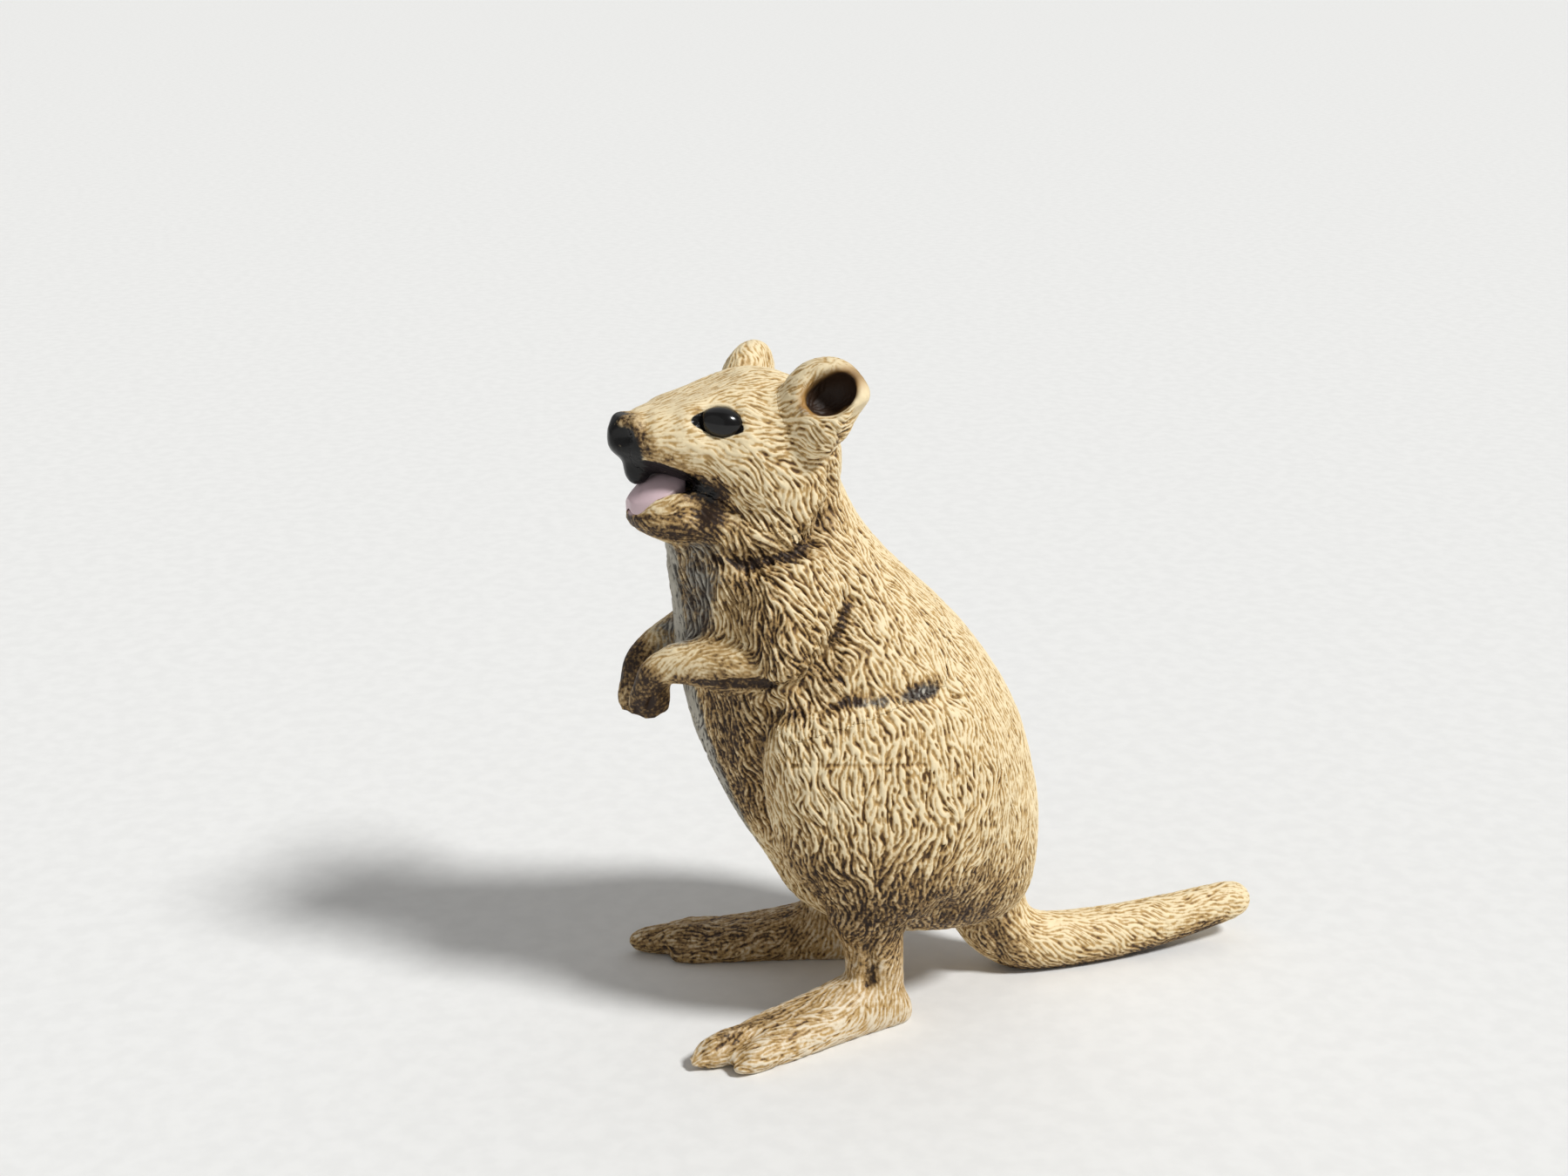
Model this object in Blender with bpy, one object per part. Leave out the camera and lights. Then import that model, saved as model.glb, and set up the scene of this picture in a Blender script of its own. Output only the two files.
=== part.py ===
"""Quokka figurine: a small painted figure of a wallaby that sits up on its hind feet and tail.

Run it with: blender --background --python part.py
Lengths are in metres and +Z is up. The animal looks along -Y, and its left side is +X.
The figure is cast in separate pieces. Each casting has a root that sits in a pocket of its
neighbour, and every pocket is cut by the forms of the piece that it holds, grown by the glue gap.
"""

import math

import bmesh
import bpy
import numpy as np
from mathutils import Euler, Vector

MM = 0.001

# Fit of one casting in the next
GLUE_GAP = 0.3 * MM

# Torso, from its underside to the top of the neck, about the line of the heels
TORSO_CLEARANCE = 5.8 * MM
TORSO_HEIGHT = 39.2 * MM
TORSO_WIDTH = 21.4 * MM
BELLY_REACH = 14.7 * MM
BACK_REACH = 14.4 * MM
RUMP_SWELL = 0.10

# Haunches, the two thighs that swell from the torso's sides
HAUNCH_CLEARANCE = 9.2 * MM
HAUNCH_HEIGHT = 21.2 * MM
HAUNCH_FRONT = 9.6 * MM
HAUNCH_BACK = 10.2 * MM
HAUNCH_SPREAD = 12.2 * MM
HAUNCH_ROOT = 2.5 * MM

# Head, turned and tilted on the neck's pivot
NECK_SETBACK = 7.5 * MM
HEAD_SINK = 2.0 * MM
HEAD_LENGTH = 16.5 * MM
SKULL_REACH = 4.8 * MM
HEAD_HEIGHT = 14.3 * MM
CHEEK_DROP = 6.2 * MM
HEAD_WIDTH = 14.6 * MM
HEAD_TURN = math.radians(9)
HEAD_TILT = math.radians(5)
NECK_PLUG_WIDTH = 5.6 * MM
NECK_PLUG_DEPTH = 4.2 * MM
NECK_PLUG_LENGTH = 4.0 * MM

# Nose pad, with the dark middle of the upper lip below it
NOSE_STATION = 0.93
NOSE_WIDTH = 3.6 * MM
NOSE_HEIGHT = 3.2 * MM
NOSE_DEPTH = 3.2 * MM
NOSTRIL_DIAMETER = 1.0 * MM
LIP_DROP = 2.2 * MM
LIP_WIDTH = 1.8 * MM
LIP_THICKNESS = 1.3 * MM

# Eyes
EYE_STATION = 0.605
EYE_ROUND = math.radians(29)
EYE_DIAMETER = 2.8 * MM
EYE_PROUD = 0.75 * MM

# Lower jaw and tongue
JAW_LENGTH = 0.57 * HEAD_LENGTH
JAW_START = 0.08 * HEAD_LENGTH
JAW_WIDTH = 9.2 * MM
JAW_DEPTH = 5.4 * MM
JAW_UNDERSIDE = 5.2 * MM
TONGUE_LENGTH = 0.66 * JAW_LENGTH
TONGUE_WIDTH = 3.8 * MM
TONGUE_THICKNESS = 1.3 * MM

# Ears
EAR_WIDTH = 7.0 * MM
EAR_HEIGHT = 7.0 * MM
EAR_DEPTH = 3.6 * MM
EAR_OPENING_WIDTH = 4.2 * MM
EAR_OPENING_HEIGHT = 3.8 * MM
EAR_OPENING_SETBACK = 0.85 * MM
EAR_OPENING_RISE = 0.7 * MM
EAR_ROOT_DIAMETER = 4.4 * MM
EAR_ASIDE = 7.3 * MM
EAR_SETBACK = 1.9 * MM
EAR_RISE = 5.7 * MM
EAR_TURN = math.radians(48)
EAR_LEAN = math.radians(16)

# Upper arms, which are part of the torso's casting
SHOULDER_DEPTH = 7.8 * MM
SHOULDER_WIDTH = 5.6 * MM
SHOULDER_SPREAD = 5.7 * MM
ELBOW_SPREAD = 7.1 * MM
ELBOW_DEPTH = 5.4 * MM

# Forelegs
ARM_PEG_DIAMETER = 3.0 * MM
ARM_PEG_LENGTH = 3.4 * MM
FOREARM_DIAMETER = 4.0 * MM
WRIST_DIAMETER = 3.0 * MM
WRIST_SPREAD = 3.6 * MM
WRIST_REACH = 1.1 * MM
RIGHT_WRIST_DROP = 1.1 * MM
PAW_SPREAD = 2.3 * MM
PAW_REACH = 1.9 * MM
PAW_LENGTH = 3.4 * MM
PALM_WIDTH = 2.9 * MM
PALM_THICKNESS = 1.9 * MM
FINGER_DIAMETER = 0.85 * MM
FINGER_LENGTH = 2.2 * MM
FINGERS = 4

# Hind legs
LEFT_HEEL_OFFSET = 7.0 * MM
RIGHT_HEEL_OFFSET = 5.5 * MM
FOOT_SPLAY = math.radians(16)
HEEL_REACH = 2.2 * MM
FOOT_LENGTH = 14.2 * MM
FOOT_WIDTH = 5.4 * MM
FOOT_HEIGHT = 4.2 * MM
SHIN_WIDTH = 4.2 * MM
SHIN_DEPTH = 4.8 * MM
SHIN_ROOT = 4.5 * MM
LONG_TOE_LENGTH = 6.5 * MM
LONG_TOE_DIAMETER = 2.5 * MM
OUTER_TOE_LENGTH = 3.8 * MM
OUTER_TOE_DIAMETER = 2.1 * MM
INNER_TOE_LENGTH = 3.0 * MM
INNER_TOE_DIAMETER = 1.3 * MM
SOLE_CUT = 0.35 * MM

# Tail
TAIL_REACH = 23.8 * MM
TAIL_START = 11.1 * MM
TAIL_ROOT_DIAMETER = 6.3 * MM
TAIL_DIAMETER = 4.6 * MM
TAIL_TIP_DIAMETER = 3.0 * MM
TAIL_ROOT_HEIGHT = 10.5 * MM
TAIL_TIP_LIFT = 1.7 * MM
TAIL_SWAY = 0.9 * MM
TAIL_FLAT = 0.12 * MM

# How square a rounded section is, where 2 is an ellipse
SOFT_OVAL = 2.15
FOOT_OVAL = 2.4

# Sections round a form, and rings along it
TORSO_SIDES, TORSO_RINGS = 30, 25
HAUNCH_SIDES, HAUNCH_RINGS = 22, 15
HEAD_SIDES, HEAD_RINGS = 26, 22
JAW_SIDES, JAW_RINGS = 16, 10
FOOT_SIDES, FOOT_RINGS = 14, 11
LIMB_SIDES = 12
TOE_SIDES = 9
FINGER_SIDES = 7

# Torso sections from the bottom up: share of the height, of the belly's reach, of the back's
# reach and of the half width
TORSO_SECTIONS = (
    (0.000, -0.29, 0.52, 0.20),
    (0.010, -0.12, 0.76, 0.42),
    (0.033, 0.19, 0.93, 0.60),
    (0.080, 0.370, 0.985, 0.76),
    (0.150, 0.47, 1.00, 0.87),
    (0.250, 0.64, 0.995, 0.96),
    (0.350, 0.77, 0.94, 1.00),
    (0.450, 0.875, 0.862, 0.99),
    (0.550, 0.93, 0.71, 0.93),
    (0.650, 0.96, 0.50, 0.85),
    (0.730, 0.98, 0.27, 0.76),
    (0.800, 1.00, 0.085, 0.67),
    (0.870, 0.985, -0.06, 0.59),
    (0.940, 0.91, -0.14, 0.50),
    (0.985, 0.79, -0.20, 0.36),
    (1.000, 0.67, -0.30, 0.15),
)

# Haunch sections from the bottom up: share of the height, of the front, of the back, of the spread
HAUNCH_SECTIONS = (
    (0.00, 0.05, 0.22, 0.74),
    (0.02, 0.28, 0.36, 0.80),
    (0.07, 0.46, 0.56, 0.87),
    (0.15, 0.66, 0.78, 0.93),
    (0.29, 0.84, 0.945, 0.98),
    (0.45, 0.93, 1.00, 1.00),
    (0.61, 0.99, 0.955, 0.99),
    (0.75, 1.00, 0.85, 0.95),
    (0.87, 0.90, 0.69, 0.88),
    (0.95, 0.66, 0.50, 0.80),
    (1.00, 0.25, 0.28, 0.70),
)

# Head sections from the back of the skull to the muzzle: share of the length, top and bottom as
# shares of the height, share of the half width
HEAD_SECTIONS = (
    (0.000, 0.643, 0.448, 0.27),
    (0.023, 0.755, 0.336, 0.55),
    (0.081, 0.860, 0.196, 0.78),
    (0.179, 0.944, 0.070, 0.945),
    (0.295, 0.986, 0.000, 1.00),
    (0.410, 0.985, 0.042, 0.945),
    (0.514, 0.962, 0.182, 0.85),
    (0.601, 0.938, 0.329, 0.74),
    (0.676, 0.915, 0.430, 0.645),
    (0.769, 0.885, 0.495, 0.535),
    (0.861, 0.855, 0.535, 0.430),
    (0.931, 0.826, 0.575, 0.345),
    (0.983, 0.785, 0.625, 0.215),
    (1.000, 0.745, 0.675, 0.08),
)

# Jaw sections from the throat to the chin: share of the length, top and bottom as shares of the
# depth, share of the half width
JAW_SECTIONS = (
    (0.00, 0.72, 0.20, 0.60),
    (0.08, 0.88, 0.06, 0.90),
    (0.23, 0.96, 0.00, 1.00),
    (0.45, 0.94, 0.04, 0.90),
    (0.66, 0.84, 0.15, 0.76),
    (0.82, 0.75, 0.27, 0.62),
    (0.93, 0.69, 0.38, 0.47),
    (0.985, 0.64, 0.47, 0.30),
    (1.00, 0.60, 0.53, 0.15),
)

# Foot sections from the heel to the toe line: share of the length, top as a share of the height,
# share of the half width
FOOT_SECTIONS = (
    (0.00, 0.34, 0.42),
    (0.04, 0.60, 0.64),
    (0.15, 0.95, 0.78),
    (0.32, 1.00, 0.80),
    (0.50, 0.83, 0.86),
    (0.70, 0.66, 0.95),
    (0.88, 0.55, 1.00),
    (0.97, 0.46, 0.86),
    (1.00, 0.36, 0.62),
)

# Levels on the torso, as shares of its height, for the forelegs
SHOULDER_LEVEL = 0.80
ELBOW_LEVEL = 0.625
WRIST_LEVEL = 0.612

COLOURS = {
    "fur": ((0.62, 0.47, 0.27), 0.62),
    "skin": ((0.42, 0.29, 0.17), 0.60),
    "black": ((0.012, 0.010, 0.010), 0.18),
    "pink": ((0.60, 0.42, 0.44), 0.35),
}


# Scene

def clear_scene():
    for old in list(bpy.data.objects):
        bpy.data.objects.remove(old, do_unlink=True)


def new_collection(name):
    made = bpy.data.collections.new(name)
    bpy.context.scene.collection.children.link(made)
    return made


def new_material(name, colour, roughness):
    made = bpy.data.materials.new(name)
    made.use_nodes = True
    shader = made.node_tree.nodes["Principled BSDF"]
    shader.inputs["Base Color"].default_value = (*colour, 1)
    shader.inputs["Roughness"].default_value = roughness
    shader.inputs["Metallic"].default_value = 0
    return made


def new_piece(name, mesh, material, parent):
    """An object of the figurine."""
    made = bpy.data.objects.new(name, mesh)
    mesh.materials.append(material)
    mesh.shade_smooth()
    made.parent = parent
    FIGURINE.objects.link(made)
    return made


def new_helper(name, mesh, parent):
    """A form that is only joined to a piece or cut from one."""
    made = bpy.data.objects.new(name, mesh)
    made.parent = parent
    made.hide_render = True
    made.display_type = "WIRE"
    return made


def new_empty(name, place, turn, parent):
    made = bpy.data.objects.new(name, None)
    made.location = place
    made.rotation_euler = turn
    made.parent = parent
    FIGURINE.objects.link(made)
    return made


# Forms

def spread_rows(rows, count):
    """The rows of a table drawn out to this many, with a smooth curve through them."""
    rows = np.array(rows, dtype=float)
    slopes = np.gradient(rows, axis=0)
    at = np.linspace(0, len(rows) - 1, count)
    i = np.clip(at.astype(int), 0, len(rows) - 2)
    t = (at - i)[:, None]
    return (
        (2 * t**3 - 3 * t**2 + 1) * rows[i]
        + (t**3 - 2 * t**2 + t) * slopes[i]
        + (3 * t**2 - 2 * t**3) * rows[i + 1]
        + (t**3 - t**2) * slopes[i + 1]
    )


def oval(across, low, high, sides, squareness, swell=0.0):
    """(sideways, along) of points round a rounded section, wider by the swell at its high end."""
    angle = np.linspace(0, 2 * math.pi, sides, endpoint=False)
    power = 2 / squareness
    c, s = np.cos(angle), np.sin(angle)
    sideways = across * np.sign(c) * np.abs(c) ** power * (1 + swell * s)
    along = (low + high) / 2 + (high - low) / 2 * np.sign(s) * np.abs(s) ** power
    return sideways, along


def skin(name, rings):
    """A closed mesh over rings of points, each end drawn to its centre."""
    shell = bmesh.new()
    loops = [[shell.verts.new(point) for point in ring] for ring in rings]
    count = len(loops[0])
    for near, far in zip(loops, loops[1:]):
        for i in range(count):
            j = (i + 1) % count
            shell.faces.new((near[i], near[j], far[j], far[i]))
    for loop, step in ((loops[0], -1), (loops[-1], 1)):
        centre = shell.verts.new(sum((v.co for v in loop), Vector()) / count)
        for i in range(count):
            shell.faces.new((loop[i], loop[(i + step) % count], centre))
    if shell.calc_volume(signed=True) < 0:
        bmesh.ops.reverse_faces(shell, faces=shell.faces)
    mesh = bpy.data.meshes.new(name)
    shell.to_mesh(mesh)
    shell.free()
    return mesh


def standing_form(name, rows, sides, swell):
    """A form with level sections. Rows are height, front, back, half width and middle."""
    rings = []
    for height, front, back, half, middle in rows:
        x, y = oval(half, front, back, sides, SOFT_OVAL, swell)
        rings.append(np.stack([x + middle, y, np.full(sides, height)], axis=1))
    return skin(name, rings)


def reaching_form(name, rows, sides, squareness=SOFT_OVAL):
    """A form that runs forward. Rows are reach along -Y, top, bottom and half width."""
    rings = []
    for reach, top, bottom, half in rows:
        x, z = oval(half, bottom, top, sides, squareness)
        rings.append(np.stack([x, np.full(sides, -reach), z], axis=1))
    return skin(name, rings)


def limb(name, stations, sides, rings, first_side=(1, 0, 0)):
    """A round-ended limb. Stations are a centre, a radius along first_side and one across it."""
    rows = spread_rows([(*centre, wide, deep) for centre, wide, deep in stations], rings)
    centres = rows[:, :3]
    ahead = np.gradient(centres, axis=0)
    ahead /= np.linalg.norm(ahead, axis=1)[:, None]
    side = np.array(first_side, dtype=float)
    angle = np.linspace(0, 2 * math.pi, sides, endpoint=False)
    loops = []
    for centre, forward, (wide, deep) in zip(centres, ahead, rows[:, 3:]):
        side = side - forward * (side @ forward)
        side /= np.linalg.norm(side)
        other = np.cross(forward, side)
        across = np.outer(np.cos(angle) * wide, side)
        loops.append(centre + across + np.outer(np.sin(angle) * deep, other))
    first_size, last_size = rows[0, 3:].min(), rows[-1, 3:].min()
    turns = [math.radians(turn) for turn in (30, 60, 80)]
    start = [
        centres[0] - ahead[0] * first_size * math.sin(turn) + (loops[0] - centres[0]) * math.cos(turn)
        for turn in reversed(turns)
    ]
    end = [
        centres[-1] + ahead[-1] * last_size * math.sin(turn) + (loops[-1] - centres[-1]) * math.cos(turn)
        for turn in turns
    ]
    return skin(name, start + loops + end)


def ball(name, size, segments=20, rings=12):
    """An ellipsoid mesh of these three diameters, centred on its own origin."""
    form = bmesh.new()
    bmesh.ops.create_uvsphere(form, u_segments=segments, v_segments=rings, radius=0.5)
    bmesh.ops.scale(form, vec=size, verts=form.verts)
    mesh = bpy.data.meshes.new(name)
    form.to_mesh(mesh)
    form.free()
    return mesh


def block(name, size):
    """A box mesh of these three sizes, centred on its own origin."""
    form = bmesh.new()
    bmesh.ops.create_cube(form, size=1)
    bmesh.ops.scale(form, vec=size, verts=form.verts)
    mesh = bpy.data.meshes.new(name)
    form.to_mesh(mesh)
    form.free()
    return mesh


# Joining and seating

def helper_group(host, operation):
    """The collection of forms for one of a piece's Boolean steps, made with the step itself."""
    for step in host.modifiers:
        if step.operation == operation:
            return step.collection
    group = bpy.data.collections.new(f"{host.name}_{operation.lower()}")
    HELPERS.children.link(group)
    step = host.modifiers.new(operation.lower(), "BOOLEAN")
    step.operation = operation
    step.solver = "EXACT"
    step.operand_type = "COLLECTION"
    step.collection = group
    return group


def join(host, form):
    helper_group(host, "UNION").objects.link(form)


def cut(host, form):
    helper_group(host, "DIFFERENCE").objects.link(form)


def joined_forms(piece):
    steps = [step for step in piece.modifiers if step.operation == "UNION"]
    return [form for step in steps for form in step.collection.objects]


def grown_copy(form):
    """A cutter that stands one glue gap outside a form."""
    mesh = form.data.copy()
    places = [v.co + v.normal * GLUE_GAP for v in mesh.vertices]
    for vertex, place in zip(mesh.vertices, places):
        vertex.co = place
    grown = new_helper(f"{form.name}_pocket", mesh, form.parent)
    grown.location = form.location
    grown.rotation_euler = form.rotation_euler
    return grown


def seat(host, *guests):
    """Cuts a pocket in the host for each form of each guest, one glue gap larger than the form."""
    for guest in guests:
        for form in (guest, *joined_forms(guest)):
            cut(host, grown_copy(form))


# Torso and haunches

def torso_rows(count):
    """Height, front, back, half width and middle of the torso's sections."""
    rows = spread_rows(TORSO_SECTIONS, count)
    return np.stack(
        [
            TORSO_CLEARANCE + rows[:, 0] * TORSO_HEIGHT,
            -rows[:, 1] * BELLY_REACH,
            rows[:, 2] * BACK_REACH,
            rows[:, 3] * TORSO_WIDTH / 2,
            np.zeros(count),
        ],
        axis=1,
    )


def torso_at(level):
    """Height and front of the torso at a share of its height."""
    rows = torso_rows(200)
    height = TORSO_CLEARANCE + level * TORSO_HEIGHT
    return height, np.interp(height, rows[:, 0], rows[:, 1])


def elbow_at(side):
    height, front = torso_at(ELBOW_LEVEL)
    return Vector((side * ELBOW_SPREAD, front * 0.55, height))


def make_upper_arm(side, body):
    """The furry upper arm, which hangs along the ribs from the neck to the elbow."""
    height, front = torso_at(SHOULDER_LEVEL)
    shoulder = Vector((side * SHOULDER_SPREAD, front * 0.44, height))
    elbow = elbow_at(side)
    deep, wide = SHOULDER_DEPTH / 2, SHOULDER_WIDTH / 2
    stations = (
        (shoulder, deep * 0.86, wide * 0.80),
        (shoulder.lerp(elbow, 0.45) + Vector((side * SHOULDER_WIDTH * 0.045, 0, 0)), deep, wide),
        (elbow, ELBOW_DEPTH / 2, wide * 0.90),
    )
    return new_helper(f"upper_arm_{side}", limb("upper_arm", stations, LIMB_SIDES + 2, 9, (0, 1, 0)), body)


def make_haunch(side, body):
    """One thigh, which swells from the torso's side ahead of the rump."""
    rows = []
    for height, front, back, spread in spread_rows(HAUNCH_SECTIONS, HAUNCH_RINGS):
        half = (spread * HAUNCH_SPREAD - HAUNCH_ROOT) / 2
        level = HAUNCH_CLEARANCE + height * HAUNCH_HEIGHT
        rows.append((level, -front * HAUNCH_FRONT, back * HAUNCH_BACK, half, side * (HAUNCH_ROOT + half)))
    return new_helper(f"haunch_{side}", standing_form("haunch", rows, HAUNCH_SIDES, 0), body)


def make_torso(body, fur):
    mesh = standing_form("torso", torso_rows(TORSO_RINGS), TORSO_SIDES, RUMP_SWELL)
    torso = new_piece("torso", mesh, fur, body)
    for side in (1, -1):
        join(torso, make_haunch(side, body))
        join(torso, make_upper_arm(side, body))
    return torso


# Head

def head_rows(count):
    """Reach ahead of the neck's pivot, top, bottom and half width of the head's sections."""
    rows = spread_rows(HEAD_SECTIONS, count)
    return np.stack(
        [
            rows[:, 0] * HEAD_LENGTH - SKULL_REACH,
            rows[:, 1] * HEAD_HEIGHT - CHEEK_DROP,
            rows[:, 2] * HEAD_HEIGHT - CHEEK_DROP,
            rows[:, 3] * HEAD_WIDTH / 2,
        ],
        axis=1,
    )


def on_head(along, round_angle):
    """A point on the head's skin, at a share of its length and an angle up from its left side."""
    rows = head_rows(200)
    reach = along * HEAD_LENGTH - SKULL_REACH
    top, bottom, half = (np.interp(reach, rows[:, 0], rows[:, k]) for k in (1, 2, 3))
    return Vector(
        (
            half * math.cos(round_angle),
            -reach,
            (top + bottom) / 2 + (top - bottom) / 2 * math.sin(round_angle),
        )
    )


def make_head(neck, fur):
    """The skull and upper jaw, with an oval plug below that keys it to the torso."""
    mesh = reaching_form("head", head_rows(HEAD_RINGS), HEAD_SIDES)
    head = new_piece("head", mesh, fur, neck)
    low = -CHEEK_DROP - NECK_PLUG_LENGTH
    width, depth = NECK_PLUG_WIDTH / 2, NECK_PLUG_DEPTH / 2
    plug = limb("neck_plug", (((0, 0, 0), width, depth), ((0, 0, low), width, depth)), LIMB_SIDES, 5)
    join(head, new_helper("neck_plug", plug, neck))
    return head


def make_nose(neck, black):
    """The nose pad over the muzzle's end, with two nostrils and the lip's dark middle."""
    centre = on_head(NOSE_STATION, 0)
    centre.x = 0
    nose = new_piece("nose", ball("nose", (NOSE_WIDTH, NOSE_DEPTH, NOSE_HEIGHT), 16, 10), black, neck)
    nose.location = centre
    top = centre + Vector((0, NOSE_DEPTH * 0.10, -NOSE_HEIGHT * 0.2))
    foot = centre + Vector((0, NOSE_DEPTH * 0.16, -NOSE_HEIGHT * 0.2 - LIP_DROP))
    lip = limb(
        "lip",
        (
            (top, LIP_WIDTH * 0.5, LIP_THICKNESS * 0.5),
            (top.lerp(foot, 0.55), LIP_WIDTH * 0.48, LIP_THICKNESS * 0.5),
            (foot, LIP_WIDTH * 0.28, LIP_THICKNESS * 0.36),
        ),
        10,
        5,
    )
    join(nose, new_helper("lip", lip, neck))
    for side in (1, -1):
        size = (NOSTRIL_DIAMETER, NOSTRIL_DIAMETER * 1.5, NOSTRIL_DIAMETER)
        nostril = new_helper(f"nostril_{side}", ball("nostril", size, 8, 6), neck)
        nostril.location = centre + Vector((side * 0.30 * NOSE_WIDTH, -0.36 * NOSE_DEPTH, 0))
        cut(nose, nostril)
    return nose


def make_eye(side, neck, black):
    """A glossy ball set in the skull, standing a little proud of the fur."""
    name = f"{'left' if side > 0 else 'right'}_eye"
    eye = new_piece(name, ball("eye", (EYE_DIAMETER,) * 3, 14, 8), black, neck)
    outward = Vector((0.86, -0.30, 0.40)).normalized()
    centre = on_head(EYE_STATION, EYE_ROUND) - outward * (EYE_DIAMETER / 2 - EYE_PROUD)
    eye.location = (side * centre.x, centre.y, centre.z)
    return eye


def make_ear(side, neck, fur):
    """A round cup on a stout root, with its mouth turned outward and forward."""
    name = f"{'left' if side > 0 else 'right'}_ear"
    centre = Vector((side * EAR_ASIDE, EAR_SETBACK, EAR_RISE))
    turn = Euler((0, -side * EAR_LEAN, -side * EAR_TURN))
    mouth = turn.to_matrix() @ Vector((side, 0, 0))
    ear = new_piece(name, ball(name, (EAR_DEPTH, EAR_WIDTH, EAR_HEIGHT), 18, 12), fur, neck)
    ear.location = centre
    ear.rotation_euler = turn
    size = (EAR_DEPTH * 1.5, EAR_OPENING_WIDTH, EAR_OPENING_HEIGHT)
    hollow = new_helper(f"{name}_hollow", ball(f"{name}_hollow", size, 16, 10), neck)
    aside = turn.to_matrix() @ Vector((0, EAR_OPENING_SETBACK, EAR_OPENING_RISE))
    hollow.location = centre + mouth * EAR_DEPTH * 0.5 + aside
    hollow.rotation_euler = turn
    back = centre - mouth * EAR_DEPTH * 0.2
    anchor = Vector((side * EAR_ASIDE * 0.55, EAR_SETBACK - EAR_WIDTH * 0.2, EAR_RISE - EAR_HEIGHT * 0.55))
    stem = limb(
        f"{name}_root",
        (
            (anchor, EAR_ROOT_DIAMETER * 0.42, EAR_ROOT_DIAMETER * 0.36),
            (anchor.lerp(back, 0.5), EAR_ROOT_DIAMETER * 0.5, EAR_ROOT_DIAMETER * 0.40),
            (back, EAR_ROOT_DIAMETER * 0.42, EAR_ROOT_DIAMETER * 0.30),
        ),
        10,
        6,
        first_side=(0, 1, 0),
    )
    join(ear, new_helper(f"{name}_root", stem, neck))
    cut(ear, hollow)
    return ear


def make_jaw(neck, fur):
    rows = [
        (
            JAW_START + share * JAW_LENGTH,
            top * JAW_DEPTH - JAW_UNDERSIDE,
            bottom * JAW_DEPTH - JAW_UNDERSIDE,
            half * JAW_WIDTH / 2,
        )
        for share, top, bottom, half in spread_rows(JAW_SECTIONS, JAW_RINGS)
    ]
    return new_piece("lower_jaw", reaching_form("lower_jaw", rows, JAW_SIDES), fur, neck)


def make_tongue(neck, pink):
    """The mouth's pale floor and tongue, which lie on the lower jaw."""
    tip = JAW_START + JAW_LENGTH * 0.95
    rise = JAW_DEPTH - JAW_UNDERSIDE
    wide, thick = TONGUE_WIDTH / 2, TONGUE_THICKNESS / 2
    stations = (
        ((0, -(tip - TONGUE_LENGTH), rise), wide * 0.9, thick),
        ((0, -(tip - TONGUE_LENGTH * 0.6), rise - JAW_DEPTH * 0.13), wide, thick),
        ((0, -(tip - TONGUE_LENGTH * 0.25), rise - JAW_DEPTH * 0.25), wide * 0.82, thick * 0.9),
        ((0, -(tip - TONGUE_LENGTH * 0.08), rise - JAW_DEPTH * 0.32), wide * 0.55, thick * 0.7),
    )
    return new_piece("tongue", limb("tongue", stations, 10, 7), pink, neck)


# Forelegs

def make_foreleg(side, body, fur):
    """Forearm and a paw with its fingers hanging, on a peg that goes up into the upper arm."""
    name = f"{'left' if side > 0 else 'right'}_foreleg"
    wrist_height, wrist_front = torso_at(WRIST_LEVEL)
    if side < 0:
        wrist_height -= RIGHT_WRIST_DROP
    wrist_y = wrist_front - WRIST_REACH
    wrist = Vector((side * WRIST_SPREAD, wrist_y, wrist_height))
    elbow = elbow_at(side)
    thick, thin, peg = FOREARM_DIAMETER / 2, WRIST_DIAMETER / 2, ARM_PEG_DIAMETER / 2
    stations = (
        (elbow, thick * 0.94, thick * 0.94),
        (elbow.lerp(wrist, 0.45) + Vector((side * thick * 0.15, 0, 0)), thick, thick * 0.96),
        (wrist, thin, thin * 0.96),
    )
    arm = new_piece(name, limb(name, stations, LIMB_SIDES, 9, (0, 1, 0)), fur, body)
    socket = elbow + Vector((-side * ARM_PEG_LENGTH * 0.25, ARM_PEG_LENGTH * 0.3, ARM_PEG_LENGTH))
    pin = limb("arm_peg", ((elbow, peg, peg), (socket, peg, peg * 0.8)), LIMB_SIDES - 2, 4, (0, 1, 0))
    join(arm, new_helper(f"{name}_peg", pin, body))
    palm_x = side * PAW_SPREAD
    knuckle_x = palm_x + side * PALM_WIDTH * 0.14
    knuckle = Vector((knuckle_x, wrist_y - PAW_REACH * 0.8, wrist_height - PAW_LENGTH * 0.3))
    palm = Vector((palm_x, wrist_y - PAW_REACH, wrist_height - PAW_LENGTH * 0.85))
    broad, flat = PALM_WIDTH / 2, PALM_THICKNESS / 2
    stations = (
        (wrist + Vector((0, -thin * 0.2, 0)), thin * 0.86, thin * 0.8),
        (knuckle, broad * 0.96, flat * 1.1),
        (palm, broad * 0.92, flat * 0.92),
    )
    paw = limb("paw", stations, LIMB_SIDES - 2, 7, (0, 1, 0))
    join(arm, new_helper(f"{name}_paw", paw, body))
    for i in range(FINGERS):
        share = i / (FINGERS - 1) - 0.5
        reach = FINGER_LENGTH * (1 - share**2)
        start = palm + Vector((0, share * PALM_WIDTH * 0.76, FINGER_LENGTH * 0.14))
        end = start + Vector((-side * FINGER_LENGTH * 0.14, share * FINGER_DIAMETER * 0.5, -reach))
        slim = FINGER_DIAMETER / 2
        stations = (
            (start, slim, slim),
            (start.lerp(end, 0.5), slim * 1.05, slim),
            (end, slim * 0.5, slim * 0.5),
        )
        join(arm, new_helper(f"{name}_finger_{i}", limb("finger", stations, FINGER_SIDES, 3), body))
    return arm


# Hind legs

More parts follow.
